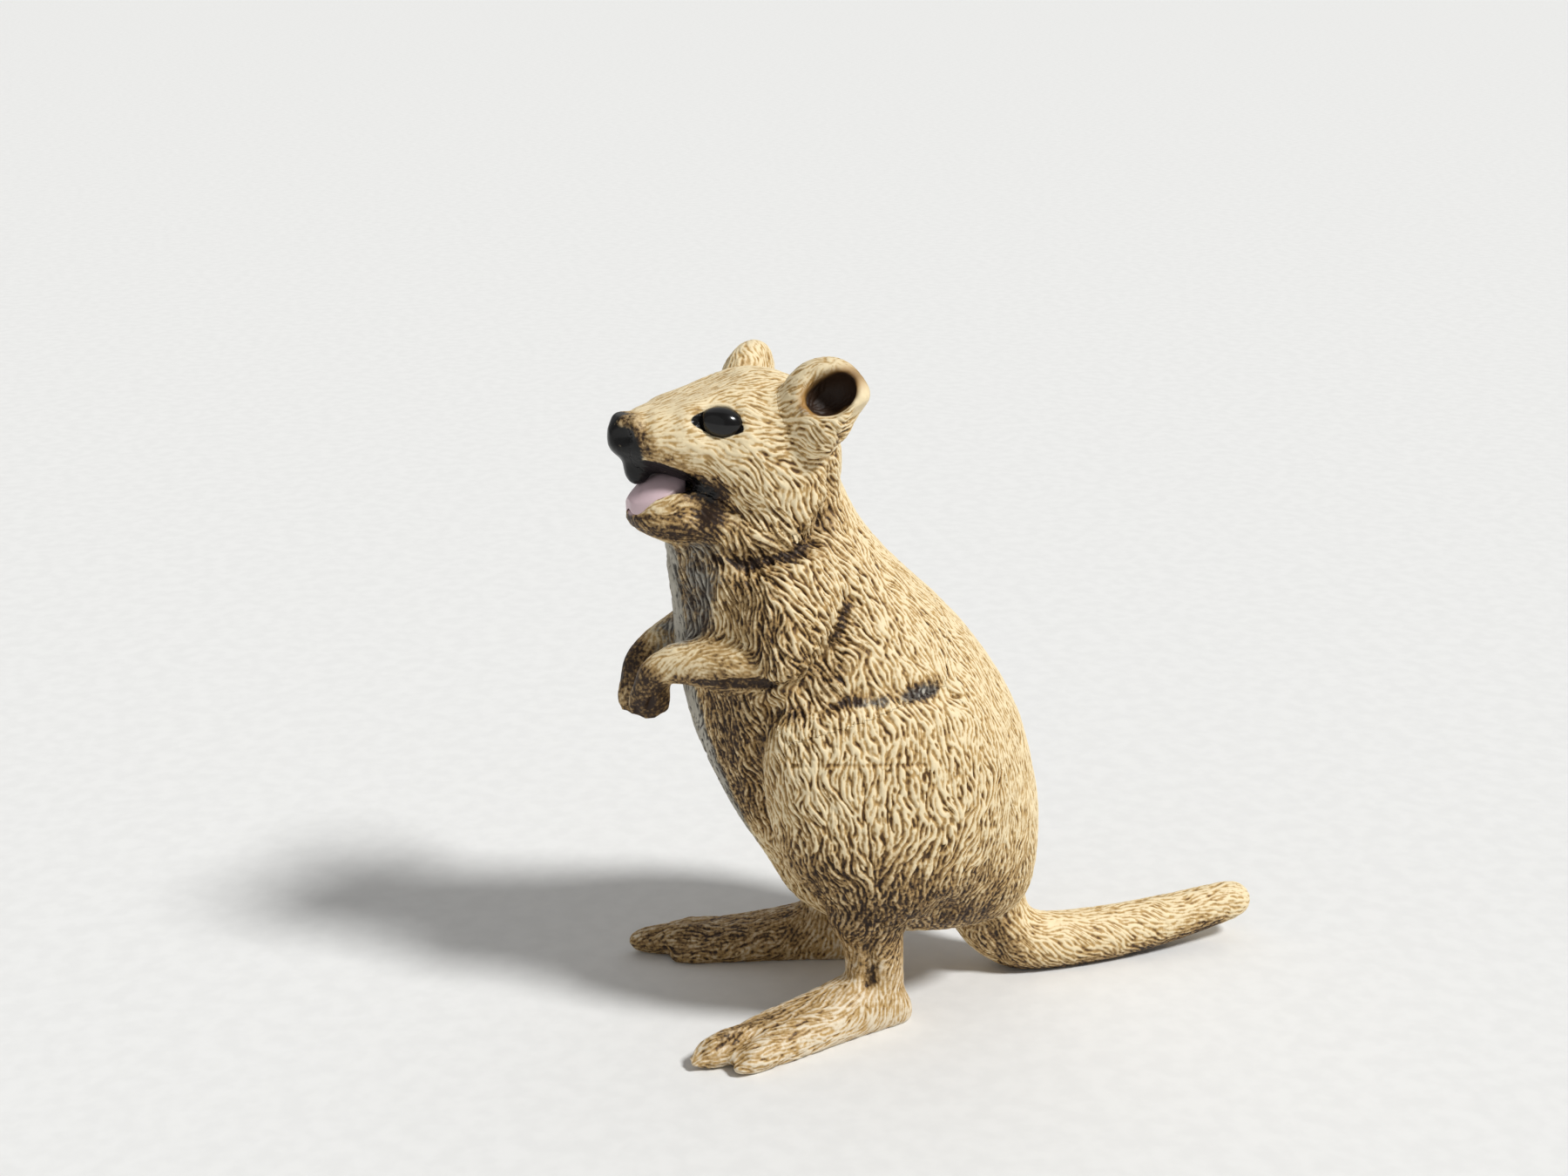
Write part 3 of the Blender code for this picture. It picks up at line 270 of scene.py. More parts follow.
# Paint by channel: where, on both sides or one, radius, strength and the line that the brush follows.
# The black channel is black paint, and painted shade in the roof and rear of the mouth; umber is dark brown
# paint, and painted shade under things and over the lower parts; gloom is the dark of the ears' cups, and
# bare takes the fur away.
BRUSHWORK = {
    "black_and_shade": (
        # the nose pad and the middle of the upper lip
        ("head", ONE, 2.4, 1.3, ((0, -12.4, 3.3), (0, -11.2, 1.2), (0, -10.2, 0.8))),
        ("head", BOTH, 1.3, 1.3, ((0.8, -12, 4.1), (1.6, -11.4, 3.9), (1.8, -11, 2.6))),
        ("head", ONE, 1.4, 1, ((0, -12.2, 4.8), (0, -11.4, 5.4))),
        # the lips, back to the corners of the mouth
        ("head", BOTH, 0.8, 1.4, ((1.8, -10.4, 1.8), (2.5, -9.3, 1.6), (2.9, -7.8, 0.9), (3.2, -6.6, 0.1))),
        ("head", BOTH, 1, 1.3, ((1.6, -10, 1.5), (2.1, -9.2, 1.3), (2.4, -7.8, 0.6))),
        ("head", BOTH, 1.2, 1.3, ((1, -11.4, 2.2), (1.2, -10.6, 1.6))),
        ("head", BOTH, 1.4, 0.75, ((3, -6.6, 0.1), (3.4, -5.8, -0.4))),
        # painted shade: black over the roof and rear of the mouth, where the cavity lies in shade
        ("head", BOTH, 1.6, 1, ((1, -9.5, 1.3), (1, -5, 0.6))),
        ("head", BOTH, 1.3, 1.3, ((2, -8.2, 0.6), (2.4, -6.6, -0.2), (2.2, -5.6, -0.6))),
        ("head", ONE, 2.3, 0.9, ((0, -6, -0.4), (0, -4, 0))),
    ),
    # Umber is dark brown paint on muzzle, paws and creases, and also painted shade under things and over the
    # lower parts
    "umber": (
        # the wings of the nose
        ("head", BOTH, 1.7, 0.95, ((0.6, -11.1, 5.4), (1.9, -10.8, 4.7), (2.4, -10.2, 3.2))),
        # the jaw's tip and the lower lip
        ("head", ONE, 1.5, 1.3, ((0, -10.9, -2.5),)),
        ("head", BOTH, 1, 1, ((1, -10.7, -2.3), (2.2, -9.4, -2.1), (3, -8, -2))),
        # beside the mouth, and the chin
        ("head", BOTH, 1.4, 0.6, ((2.8, -9.2, 2.6), (3.6, -8, 1.9))),
        ("head", BOTH, 2.2, 1.15, ((3.2, -7, 0.2), (4.1, -5.6, -0.5), (4, -6, -2.2))),
        ("head", BOTH, 2.4, 0.9, ((3.9, -6.4, -3.2), (2.6, -9.2, -3.4), (0.8, -10.6, -3.2))),
        ("head", BOTH, 3.6, 0.5, ((4.4, -4.6, -2.6), (2.8, -8.4, -2))),
        # the ruff's underside and the crease below it, darkened as painted shade, and the crease behind the
        # ear's foot
        ("head", BOTH, 3.4, 0.55, ((6, 2.2, -2.6), (5.9, -1, -4.8), (4.6, -4.4, -5))),
        ("head", BOTH, 1, 0.8, ((6, 2.8, -0.9), (6.4, 1.2, -3.9))),
        ("head", BOTH, 1.1, 1.1, ((6.4, 1.2, -3.9), (6.5, -0.6, -5.2), (5, -3.6, -5.8), (3.4, -5.4, -5.4))),
        ("head", BOTH, 1.1, 0.9, ((8.9, 2.4, 3.2), (7.4, 2.9, 1.4), (6.4, 2.9, -0.4))),
        # the mark down from the armpit
        ("body", ONE, 0.8, 1.1, ((8, -3.2, 34.6), (8.6, -4, 33), (8.8, -4.6, 32))),
        ("body", ONE, 0.8, 0.85, ((8.8, -4.6, 32), (9.3, -5.6, 30.8))),
        # painted shade: the slot under the forearm and the belly behind it, where the forearm shades it
        ("body", BOTH, 0.7, 1.6, ((5.6, -14.2, 29), (6.9, -12.6, 29.1), (7.9, -11, 29.2), (9.3, -8, 29.3))),
        ("body", BOTH, 1.2, 1.4, ((5.4, -12.6, 29.4), (7, -11.2, 29.2), (8.4, -9.4, 29.2))),
        ("body", BOTH, 0.9, 0.9, ((9.3, -8, 29.3), (9.6, -6.6, 29.2))),
        ("body", BOTH, 1.8, 0.8, ((4.8, -15.4, 28.6), (6.2, -13.4, 29), (8, -10.6, 28.8))),
        # the broken mark along the waist
        ("body", ONE, 1.4, 0.75, ((7.8, -8.8, 26.3), (9.3, -7.1, 27))),
        ("body", ONE, 1, 0.6, ((9.9, -5.6, 27.4), (10.1, -4.9, 27.7))),
        ("body", ONE, 0.9, 0.95, ((10.1, -4.3, 27.7), (10.1, -3.7, 28.1))),
        ("body", ONE, 0.8, 0.9, ((10.2, -3.4, 28.3), (10.2, -3, 27.8))),
        ("body", ONE, 1, 0.45, ((10.2, -2, 28), (10.3, 0.4, 28))),
        ("body", ONE, 1, 0.8, ((10.2, 0.8, 27.7), (10, 1.7, 28.4))),
        ("body", ONE, 1, 0.8, ((9.9, 2.2, 27.6), (9.6, 3.2, 28.6))),
        # the thigh's front edge
        ("body", BOTH, 1.5, 0.8, ((7.7, -9.3, 26), (6.8, -10, 23.6), (5.9, -9.6, 20), (5.6, -8.8, 16))),
        ("body", BOTH, 0.9, 1.3, ((7, -9.7, 24.4), (6.7, -9.9, 22.6))),
        # painted shade: the sides of the belly and the chest, the lower haunches and the shoulders' lower
        # fronts, darkened where they turn from the light
        ("body", BOTH, 6, 0.75, ((6, -12, 28), (5, -12, 24), (4, -11, 18))),
        ("body", BOTH, 4, 0.6, ((3, -13.6, 38.5), (3.4, -13.4, 34.5), (4.2, -12.8, 31.5))),
        ("body", BOTH, 11, 0.75, ((10, -7, 11), (11, 1, 9.5), (9, 7, 7.5))),
        ("body", BOTH, 5.5, 0.55, ((7, -11, 36), (8.6, -9, 32), (9.4, -6, 30))),
        # painted shade: the shins and the rump's underside, darkened where they lie in shade
        ("body", BOTH, 4.5, 0.6, ((8.4, -2, 9.5), (8.8, -1.8, 6))),
        ("body", ONE, 7, 0.5, ((0, -4, 9), (0, 8, 7))),
        # the hollow ahead of the heel's cord
        ("body", BOTH, 0.9, 1.1, ((8.9, -1.5, 4.2), (8.9, -1.3, 5.4))),
        ("body", BOTH, 1.1, 0.85, ((9, -1.4, 5.4), (9.2, -1.8, 7.6))),
        ("body", BOTH, 1.3, 0.75, ((8.2, -3.6, 4.4), (8.6, -2.8, 6.4), (8.8, -3.2, 7.6))),
        ("body", BOTH, 1.2, 0.8, ((9.2, -0.6, 7.6), (9.4, -1.4, 9.2))),
        # the feet and the gaps between the toes, with painted shade darkening the far foot
        ("body", BOTH, 4, 0.42, ((9.2, -6.5, 3.4), (11.4, -13, 2.4), (12.2, -16.4, 1.4))),
        ("body", BOTH, 1.7, 0.75, ((9, -8.6, 3), (9.7, -11.8, 2.6), (10.8, -13.4, 2.2))),
        ("body", BOTH, 0.9, 1.4, ((12.5, -15.4, 0.9), (12, -14.2, 1.7), (11.4, -12.6, 2.2))),
        ("body", FAR, 7, 0.65, ((8, -14, 1), (5, -4, 3))),
        # the paws
        ("body", BOTH, 3.6, 1.2, ((2.9, -17.2, 27.8), (2.7, -16.8, 24))),
        # painted shade: the tail's fold and its underside, darkened where they lie in shade and along the
        # ground
        ("body", BOTH, 1, 0.8, ((3.4, 9.6, 6), (3.2, 11, 4), (2, 11.9, 1.3))),
        ("body", BOTH, 4, 0.65, ((3, 9, 6), (2.4, 12, 2.4))),
        ("body", ONE, 2.6, 0.9, ((2, 12, 0), (2, 22, -0.2), (1.4, 31, 1.2))),
    ),
    "slate": (
        # the throat and the belly
        ("body", ONE, 4.4, 0.9, ((0, -14.6, 39.5), (0, -14.8, 34), (0, -14.4, 29))),
        ("body", BOTH, 4.4, 0.65, ((3.4, -13.2, 38.5), (3.6, -13.2, 34.5), (2.8, -13.6, 31))),
        ("body", BOTH, 3.2, 0.9, ((1.2, -14.2, 27), (1.6, -12.6, 22), (1, -9.8, 13))),
        # in the mark along the waist
        ("body", ONE, 1.2, 0.7, ((10.2, 0.6, 27.8), (9.7, 3, 28.2))),
        ("body", ONE, 1, 0.6, ((10.2, -3, 27.6), (10.3, -1, 27.7))),
        # the ears' front tufts
        ("head", BOTH, 1.5, 0.8, ((7.6, 0.5, 5.8), (7.4, 1.4, 5.1))),
    ),
    "amber": (
        ("head", BOTH, 2.5, 1.1, ((7.2, 1.4, 5.9), (7.6, 2.5, 6.5), (8.1, 3.2, 7)), EAR_OPENING),
    ),
    "gloom": (
        ("head", BOTH, 2.2, 1.2, ((7.2, 1.8, 6), (7.2, 2.9, 6.7), (8.1, 3.2, 7)), EAR_OPENING),
    ),
    "pink": (
        ("head", ONE, 1.9, 1.4, ((0, -9.9, -1.1), (0, -8, -0.5))),
    ),
    "bare": (
        # the nose pad and its wings
        ("head", ONE, 3.2, 1.3, ((0, -12.2, 3.2),)),
        ("head", BOTH, 1.5, 1.3, ((0.6, -11.3, 5.3), (1.8, -10.9, 4.7), (2.2, -10.8, 3.4))),
        # the rear of the mouth
        ("head", BOTH, 1.5, 1.3, ((2, -8.2, 0.6), (2.5, -6.6, -0.2), (2.4, -5.6, -0.6))),
        # the ears' cups
        ("head", BOTH, 2.4, 0.85, ((7.8, 2.6, 6.9), (8.6, 3.2, 7.4), (9.2, 3.8, 6.4)), EAR_OPENING),
        # the floor of the mouth and the lips
        ("head", ONE, 2.2, 1.4, ((0, -10.4, -1.2), (0, -8, -0.5), (0, -4.5, 0.1))),
        ("head", BOTH, 1, 1, ((1.8, -10.6, 1.8), (2.6, -9.2, 1.6), (2.8, -7.6, 0.9), (3.2, -6.4, 0))),
        # the paws
        ("body", BOTH, 3.2, 1, ((2.9, -17, 26.6), (2.7, -16.8, 23.8))),
    ),
}
CHANNELS = ("groove", "black_and_shade", "umber", "slate", "amber", "gloom", "pink")

# Where the cones' tips lie that close these skins inside the body. Other skins are closed to the
# middle of their open edges.
CONE_TIPS = {
    "torso_belly": (0.0, -5.9, 22.3),
    "torso_left_shoulder": (1.4, -3.7, 33.6),
    "torso_right_shoulder": (-1.4, -3.7, 33.6),
    "lower_jaw": (0.8, -10.6, 37.0),
}

# The left eye in the head's frame: its middle on the skin, the way it looks and the way its slit runs
EYE_SPOT = (5.0, -5.5, 5.2)
EYE_LOOK = (0.82, -0.42, 0.40)
EYE_SLIT = (0.48, 0.85, -0.20)

# The slit's height as a share of its length, how far it bows, its outline's roundness along and up,
# and how far above and below the skin's middle it holds
SLIT_HEIGHT = 0.56
SLIT_BOW = 0.35
SLIT_ROUNDNESS = (1.35, 1.7)
SLIT_REACH = 2.5

# The lids: how far under the skin's middle the slit is cut back, and the roll round it, with its
# height in mm, and its place and width counted as almond() does
LID_CUT = 0.35
LID_ROLL, LID_ROLL_PLACE, LID_ROLL_WIDTH = 0.14, 1.6, 0.35

# The eyeball's middle lies this far behind the slit's. Its socket is filled with a copy of the ball
# that is grown by this much more than the castings and moved this far inside.
EYE_REAR = 0.18
EYE_FILL = 0.2
EYE_SINK = 1.3

# Passes that let one casting's softness and fur run over into the next one's
BLENDING_ROUNDS = 9

# The pattern of locks: how much chance is in it, how sharply ridges and grooves part, how much broader
# the ridges are, and how many grains of clay a lock is wide where its pattern spreads most
LOCK_CHANCE = 0.5
LOCK_CONTRAST = 3.2
LOCK_FULLNESS = 0.16
LOCK_GRAINS = 2.82

# The mouth's lining, from its rear to the jaw's tip
MOUTH_REAR, MOUTH_LENGTH, MOUTH_THICKNESS = 6.7, 4.2, 1.0
MOUTH_SHARES = (0.0, 0.2, 0.42, 0.68, 0.86, 1.0)
MOUTH_HALF_WIDTHS = (1.4, 2.1, 2.4, 2.2, 1.6, 0.7)
MOUTH_EDGE = (0.2, 0.1, -0.3, -0.7, -1.0, -1.1)
MOUTH_RIDGE = (1.0, 1.1, 1.0, 0.6, -0.1, -0.7)

# The camera, fitted to the photograph: lens, sensor, place, and the side and height it looks from
LENS, SENSOR = 54, 36
CAMERA_SPOT = (165.45, -58.09, 86.4)
CAMERA_AZIMUTH, CAMERA_ELEVATION = 75, 17

# Sunlike lamps: name, place, spread in degrees and power, all aimed at the figurine's middle
MIDDLE = (0, -2, 24)
LAMPS = (
    ("key lamp", (150, 150, 270), 12, 0.95),
    ("front lamp", (160, -240, 120), 80, 0.10),
    ("rim lamp", (-160, 60, 240), 80, 0.14),
)

# The room's strength as a light, and as the backdrop that the camera sees
ROOM_LIGHT, ROOM_SEEN = 0.22, 0.93


# Colours and sizes that a user would change

def linear(code):
    """The linear colour of an sRGB hex code."""
    parts = [int(code[i : i + 2], 16) / 255 for i in (1, 3, 5)]
    return [p / 12.92 if p <= 0.04045 else ((p + 0.055) / 1.055) ** 2.4 for p in parts]


def colour(label, about, code):
    return FloatVectorProperty(
        name=label, description=about, default=linear(code), subtype="COLOR", size=3, min=0, max=1
    )


def millimetres(label, about, value):
    return FloatProperty(name=label, description=about, default=value, min=0, soft_max=100)


class FIGURINE_PG_fur(bpy.types.PropertyGroup):
    closing: millimetres("Closing", "How far each casting's copy is grown to close the glue gaps, in mm", 0.2)
    clay_grain: millimetres("Clay grain", "Mesh width of the clay before it is split finer, in mm", 0.2)
    rounds: IntProperty(name="Smoothing rounds", description="Passes over the clay's joins", default=150)
    depth: FloatProperty(name="Fur depth", description="Multiplies the depth of every lock", default=1.0)
    wave: FloatProperty(name="Wave", description="How far the fur bends aside", subtype="ANGLE", default=0.26)
    wave_rounds: IntProperty(name="Wave rounds", description="Passes that make the wave longer", default=22)
    strand_rounds: IntProperty(name="Strand rounds", description="Passes that draw the strands", default=6)
    seed: IntProperty(name="Seed", description="Start of the chance in the fur", default=7)


class FIGURINE_PG_eyes(bpy.types.PropertyGroup):
    width: millimetres("Width", "Length of the eyeball along the slit, in mm", 3.4)
    height: millimetres("Height", "Height of the eyeball, in mm", 2.35)
    depth: millimetres("Depth", "Thickness of the eyeball through the lids, in mm", 2.3)
    slit: millimetres("Slit", "Half length of the dark slit between its corners, in mm", 1.8)
    setback: millimetres("Setback", "How far the eyeball's middle is under the skin, in mm", 1.05)


class FIGURINE_PG_paint(bpy.types.PropertyGroup):
    cream: colour("Cream", "Tips of the fur", "#EBD9B2")
    bone: colour("Bone", "Raised skin of the hind feet", "#E0D2B8")
    tan: colour("Tan", "Sides of the locks", "#BC9A62")
    wash: colour("Wash", "Brown wash that lies in the grooves", "#56391C")
    # Soil and shade: thin brown paint on the chin, and painted shade over the lower haunches and the chest
    soil_and_shade: colour("Soil", "Thin brown over the lower haunches, the chin and the chest", "#7A5E3A")
    # Umber is also laid as painted shade under the forearms and the ruff, over the lower haunches, shins and
    # far foot, and along the tail's underside
    umber: colour("Umber", "Dark brown of paws, creases and muzzle", "#2E1E12")
    slate: colour("Slate", "Blue grey of the throat and belly", "#504E4A")
    ash: colour("Ash", "Pale grey tips on the throat and belly", "#B7B2A5")
    amber: colour("Amber", "Warm edge inside the ears", "#A27A42")
    # Black is also laid as painted shade over the roof and rear of the mouth
    black: colour("Black", "Nose, lips, eyelids and eyes", "#0C0B0B")
    pink: colour("Pink", "Floor of the mouth", "#D2B9BE")
    floor: colour("Floor", "The plain floor", "#E8E8E6")


# Meshes as arrays

def places_of(mesh):
    co = np.empty(len(mesh.vertices) * 3, np.float32)
    mesh.vertices.foreach_get("co", co)
    return co.reshape(-1, 3)


def set_places(mesh, at):
    mesh.vertices.foreach_set("co", at.astype(np.float32).ravel())
    mesh.update()


def normals_of(mesh):
    outward = np.empty(len(mesh.vertices) * 3, np.float32)
    mesh.vertex_normals.foreach_get("vector", outward)
    return outward.reshape(-1, 3)


def corners_of(mesh):
    """The four vertices of each face of a mesh of quads."""
    corners = np.empty(len(mesh.loops), np.int32)
    mesh.loops.foreach_get("vertex_index", corners)
    return corners.reshape(-1, 4)


def write_channel(mesh, name, values):
    channel = mesh.attributes.new(name, "FLOAT", "POINT")
    channel.data.foreach_set("value", values.astype(np.float32))


def write_vectors(mesh, name, vectors):
    channel = mesh.attributes.new(name, "FLOAT_VECTOR", "POINT")
    channel.data.foreach_set("vector", vectors.astype(np.float32).ravel())


def take_vectors(mesh, name):
    """The vectors of an attribute, which goes from the mesh."""
    vectors = np.empty(len(mesh.vertices) * 3, np.float32)
    mesh.attributes[name].data.foreach_get("vector", vectors)
    mesh.attributes.remove(mesh.attributes[name])
    return vectors.reshape(-1, 3)


def unit(vectors):
    return vectors / np.maximum(np.linalg.norm(vectors, axis=-1, keepdims=True), 1e-9)


def smoothstep(values, low, high):
    """0 up to low, 1 from high on, and an S between them."""
    t = np.clip((values - low) / (high - low), 0, 1)
    return t * t * (3 - 2 * t)


class Weave:
    """The eight vertices round each vertex of a mesh of quads, to take means over and to walk along."""

    def __init__(self, mesh):
        corners = corners_of(mesh)
        here = np.tile(corners.ravel(), 2)
        there = np.concatenate([np.roll(corners, turn, axis=1).ravel() for turn in (-1, -2)])
        order = np.argsort(here, kind="stable")
        self.here, self.there = here[order], there[order]
        self.count = np.bincount(here, minlength=len(mesh.vertices)).astype(np.int32)
        self.first = np.cumsum(self.count) - self.count

    def mean(self, values):
        if values.ndim == 2:
            return np.stack([self.mean(column) for column in values.T], axis=1)
        return np.add.reduceat(values[self.there], self.first) / self.count

    def relax(self, values, rounds, weight=0.5):
        """Values drawn towards their neighbours' mean by this weight, round after round."""
        if values.ndim == 2 and np.ndim(weight) == 1:
            weight = weight[:, None]
        for _ in range(rounds):
            values = values + weight * (self.mean(values) - values)
        return values

    def aim(self, at, ahead, outward):
        """A short step ahead of each vertex and one back, each as two neighbours and their shares.

        The neighbours are sorted by their angle from the way ahead, and the two on both sides of a
        step share it out. The stride is three quarters of the mean distance to a neighbour.
        """
        aside = np.cross(outward, ahead)
        offset = at[self.there] - at[self.here]
        forth = np.einsum("ij,ij->i", offset, ahead[self.here])
        across = np.einsum("ij,ij->i", offset, aside[self.here])
        stride = 0.75 * np.linalg.norm(offset[:10000], axis=1).mean()
        order = np.lexsort((np.arctan2(across, forth), self.here))
        below = np.bincount(self.here, across < 0, len(self.count)).astype(np.int32)
        steps = []
        beside_ahead, beside_back = (below % self.count, (below - 1) % self.count), (0, self.count - 1)
        for way, (over, under) in ((1, beside_ahead), (-1, beside_back)):
            p, q = order[self.first + over], order[self.first + under]
            area = forth[p] * across[q] - forth[q] * across[p]
            area = np.where(np.abs(area) < 1e-6, 1e-6, area)
            to_p = np.clip(way * stride * across[q] / area, 0, 1)
            to_q = np.clip(-way * stride * across[p] / area, 0, 1)
            total = np.maximum(to_p + to_q, 1)
            steps.append((self.there[p], to_p / total, self.there[q], to_q / total))
        return steps

    def walk(self, values, steps, rounds):
        """Values smoothed along the way of the steps only."""
        for _ in range(rounds):
            total = 3 * values
            for p, to_p, q, to_q in steps:
                total = total + to_p * (values[p] - values) + to_q * (values[q] - values)
            values = total / 3
        return values


# Strokes

def set_out(points, place, side=1):
    """A table's points on one side of the animal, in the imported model's frame."""
    return np.array([PLACES[place] @ Vector((x * side, y, z)) for x, y, z in points])


def set_ways(ways, place, side=1):
    turn = PLACES[place].to_3x3()
    return np.array([turn @ Vector((x * side, y, z)) for x, y, z in ways])


def stroke(at, line, radius):
    """The vertices that a brush of this radius touches along a line, and how strongly."""
    near = np.flatnonzero(np.all((at > line.min(0) - radius) & (at < line.max(0) + radius), axis=1))
    reach = np.full(len(near), np.inf)
    for start, end in zip(line, line[1:] if len(line) > 1 else line):
        along = end - start
        share = np.clip((at[near] - start) @ along / max(along @ along, 1e-9), 0, 1)
        reach = np.minimum(reach, np.linalg.norm(at[near] - start - share[:, None] * along, axis=1))
    hit = reach < radius
    return near[hit], (1 - (reach[hit] / radius) ** 2) ** 2


def strokes(at, table, outward=None):
    """Each stroke of a table: the vertices it touches, how strongly, and its amount.

    A stroke with a way at its end touches only skin that faces that way.
    """
    for place, sides, radius, amount, points, *facing in table:
        for side in sides:
            touched, pressure = stroke(at, set_out(points, place, side), radius)
            if facing:
                way = unit(set_ways(facing, place, side)[0])
                pressure = pressure * smoothstep(outward[touched] @ way, -0.45, 0.0)
            yield touched, pressure, amount


# Clay

def activate(piece):
    bpy.ops.object.select_all(action="DESELECT")
    piece.select_set(True)
    bpy.context.view_layer.objects.active = piece


def work(piece, kind, **settings):
    """Changes a piece with a modifier of this kind."""
    activate(piece)
    modifier = piece.modifiers.new(kind.lower(), kind)
    for key, value in settings.items():
        setattr(modifier, key, value)
    bpy.ops.object.modifier_apply(modifier=modifier.name)


def edit(operator, **settings):
    """Runs an operator on the whole of the active mesh, in edit mode."""
    bpy.ops.object.mode_set(mode="EDIT")
    bpy.ops.mesh.select_all(action="SELECT")
    operator(**settings)
    bpy.ops.object.mode_set(mode="OBJECT")


def clay_copy(name, growth):
    """A closed copy of a casting, in millimetres, grown by this much all round."""
    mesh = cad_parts[name].data.copy()
    mesh.transform(Matrix.Scale(1 / MM, 4))
    clay = bpy.data.objects.new(f"{name}_clay", mesh)
    bpy.context.scene.collection.objects.link(clay)
    activate(clay)
    edit(bpy.ops.mesh.remove_doubles, threshold=0.001)
    work(clay, "DISPLACE", strength=growth, mid_level=0)
    return clay


def eye_frame(side):
    """An eye's middle on the skin, and its slit, upward and outward ways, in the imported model's frame."""
    outward = unit(set_ways([EYE_LOOK], "head", side)[0])
    slit = set_ways([EYE_SLIT], "head", side)[0]
    slit = unit(slit - outward * (slit @ outward))
    upward = np.cross(outward, slit) * side
    return set_out([EYE_SPOT], "head", side)[0], slit, upward, outward


def knead(clay, grain):
    """Gives the clay an even mesh of quads of this width."""
    work(clay, "REMESH", mode="VOXEL", voxel_size=grain)


def fuse_clay(growth, grain):
    """One closed body over the copies of all furred castings, with the eyes' sockets filled."""
    copies = [clay_copy(name, growth) for name in CASTINGS]
    for side, name in ((1, "left_eye"), (-1, "right_eye")):
        filler = clay_copy(name, growth + EYE_FILL)
        filler.data.transform(Matrix.Translation(Vector(eye_frame(side)[3]) * -EYE_SINK))
        copies.append(filler)
    activate(copies[0])
    for copy in copies:
        copy.select_set(True)
    bpy.ops.object.join()
    clay = bpy.context.view_layer.objects.active
    clay.name = "clay"
    knead(clay, grain)
    edit(bpy.ops.mesh.separate, type="LOOSE")
    shells = sorted(bpy.context.selected_objects, key=lambda shell: len(shell.data.vertices))
    for hollow in shells[:-1]:
        bpy.data.objects.remove(hollow)
    return shells[-1]


def nearest_castings(at):
    """For each place, a share of 1 for the casting that lies nearest, in the order of CASTINGS."""
    corners, faces, owners = [], [], []
    for index, name in enumerate(CASTINGS):
        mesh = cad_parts[name].data
        first = sum(len(block) for block in corners)
        corners.append(places_of(mesh) / MM)
        faces += [[first + v for v in face.vertices] for face in mesh.polygons]
        owners += [index] * len(mesh.polygons)
    tree = BVHTree.FromPolygons(np.concatenate(corners).tolist(), faces)
    shares = np.zeros((len(at), len(CASTINGS)))
    shares[np.arange(len(at)), [owners[tree.find_nearest(Vector(place))[2]] for place in at]] = 1
    return shares


def almond(at, side, half_length):
    """0 in the middle of an eye's slit, 1 on its pointed outline and more outside, and the height over it."""
    middle, slit, upward, outward = eye_frame(side)
    offset = at - middle
    along, out = offset @ slit / half_length, offset @ outward
    up = (offset @ upward + SLIT_BOW * along**2) / (half_length * SLIT_HEIGHT)
    ring = np.abs(along) ** SLIT_ROUNDNESS[0] + np.abs(up) ** SLIT_ROUNDNESS[1]
    ring[np.abs(out) > SLIT_REACH] = np.inf
    return ring, out


def shape_clay(clay, rounds):
    """Smooths the joins and works the creases and hollows in."""
    mesh = clay.data
    weave = Weave(mesh)
    at = places_of(mesh)
    shares = weave.relax(nearest_castings(at), BLENDING_ROUNDS)
    softness = weave.relax(shares @ np.array([look[2] for look in CASTINGS.values()], np.float32), 6)
    at = weave.relax(at, rounds, 0.5 * softness)
    for place, sides, radius, push, points in PUSHING:
        for side in sides:
            touched, pressure = stroke(at, set_out(points, place, side), radius)
            at[touched] += pressure[:, None] * set_ways([push], place, side)
    set_places(mesh, at)
    outward = normals_of(mesh)
    lift = np.zeros(len(at), np.float32)
    for touched, pressure, amount in strokes(at, SHAPING):
        lift[touched] += pressure * amount
    at = at + outward * weave.relax(lift, 1)[:, None]
    worked = np.clip(np.abs(weave.relax(lift, 3)), 0, 0.4)
    set_places(mesh, weave.relax(at, 3, worked))


def open_eyes(clay, half_slit):
    """Smooths the kneaded clay lightly and opens the eyelids; gives its weave and its castings' shares."""
    mesh = clay.data
    weave = Weave(mesh)
    at = weave.relax(places_of(mesh), 3, 0.4)
    shares = weave.relax(nearest_castings(at), BLENDING_ROUNDS)
    set_places(mesh, at)
    lift = np.zeros(len(at), np.float32)
    for side in BOTH:
        ring, out = almond(at, side, half_slit)
        lift -= smoothstep(-ring, -1.15, -0.45) * (out + LID_CUT).clip(0, 2)
        lift += LID_ROLL * np.exp(-(((ring - LID_ROLL_PLACE) / LID_ROLL_WIDTH) ** 2))
    set_places(mesh, at + normals_of(mesh) * weave.relax(lift, 1)[:, None])
    return weave, shares


def split_finer(clay):
    """Splits each face in four, at the low quality that needs little memory."""
    work(clay, "SUBSURF", levels=1, render_levels=1, quality=1, use_limit_surface=False)


# Fur

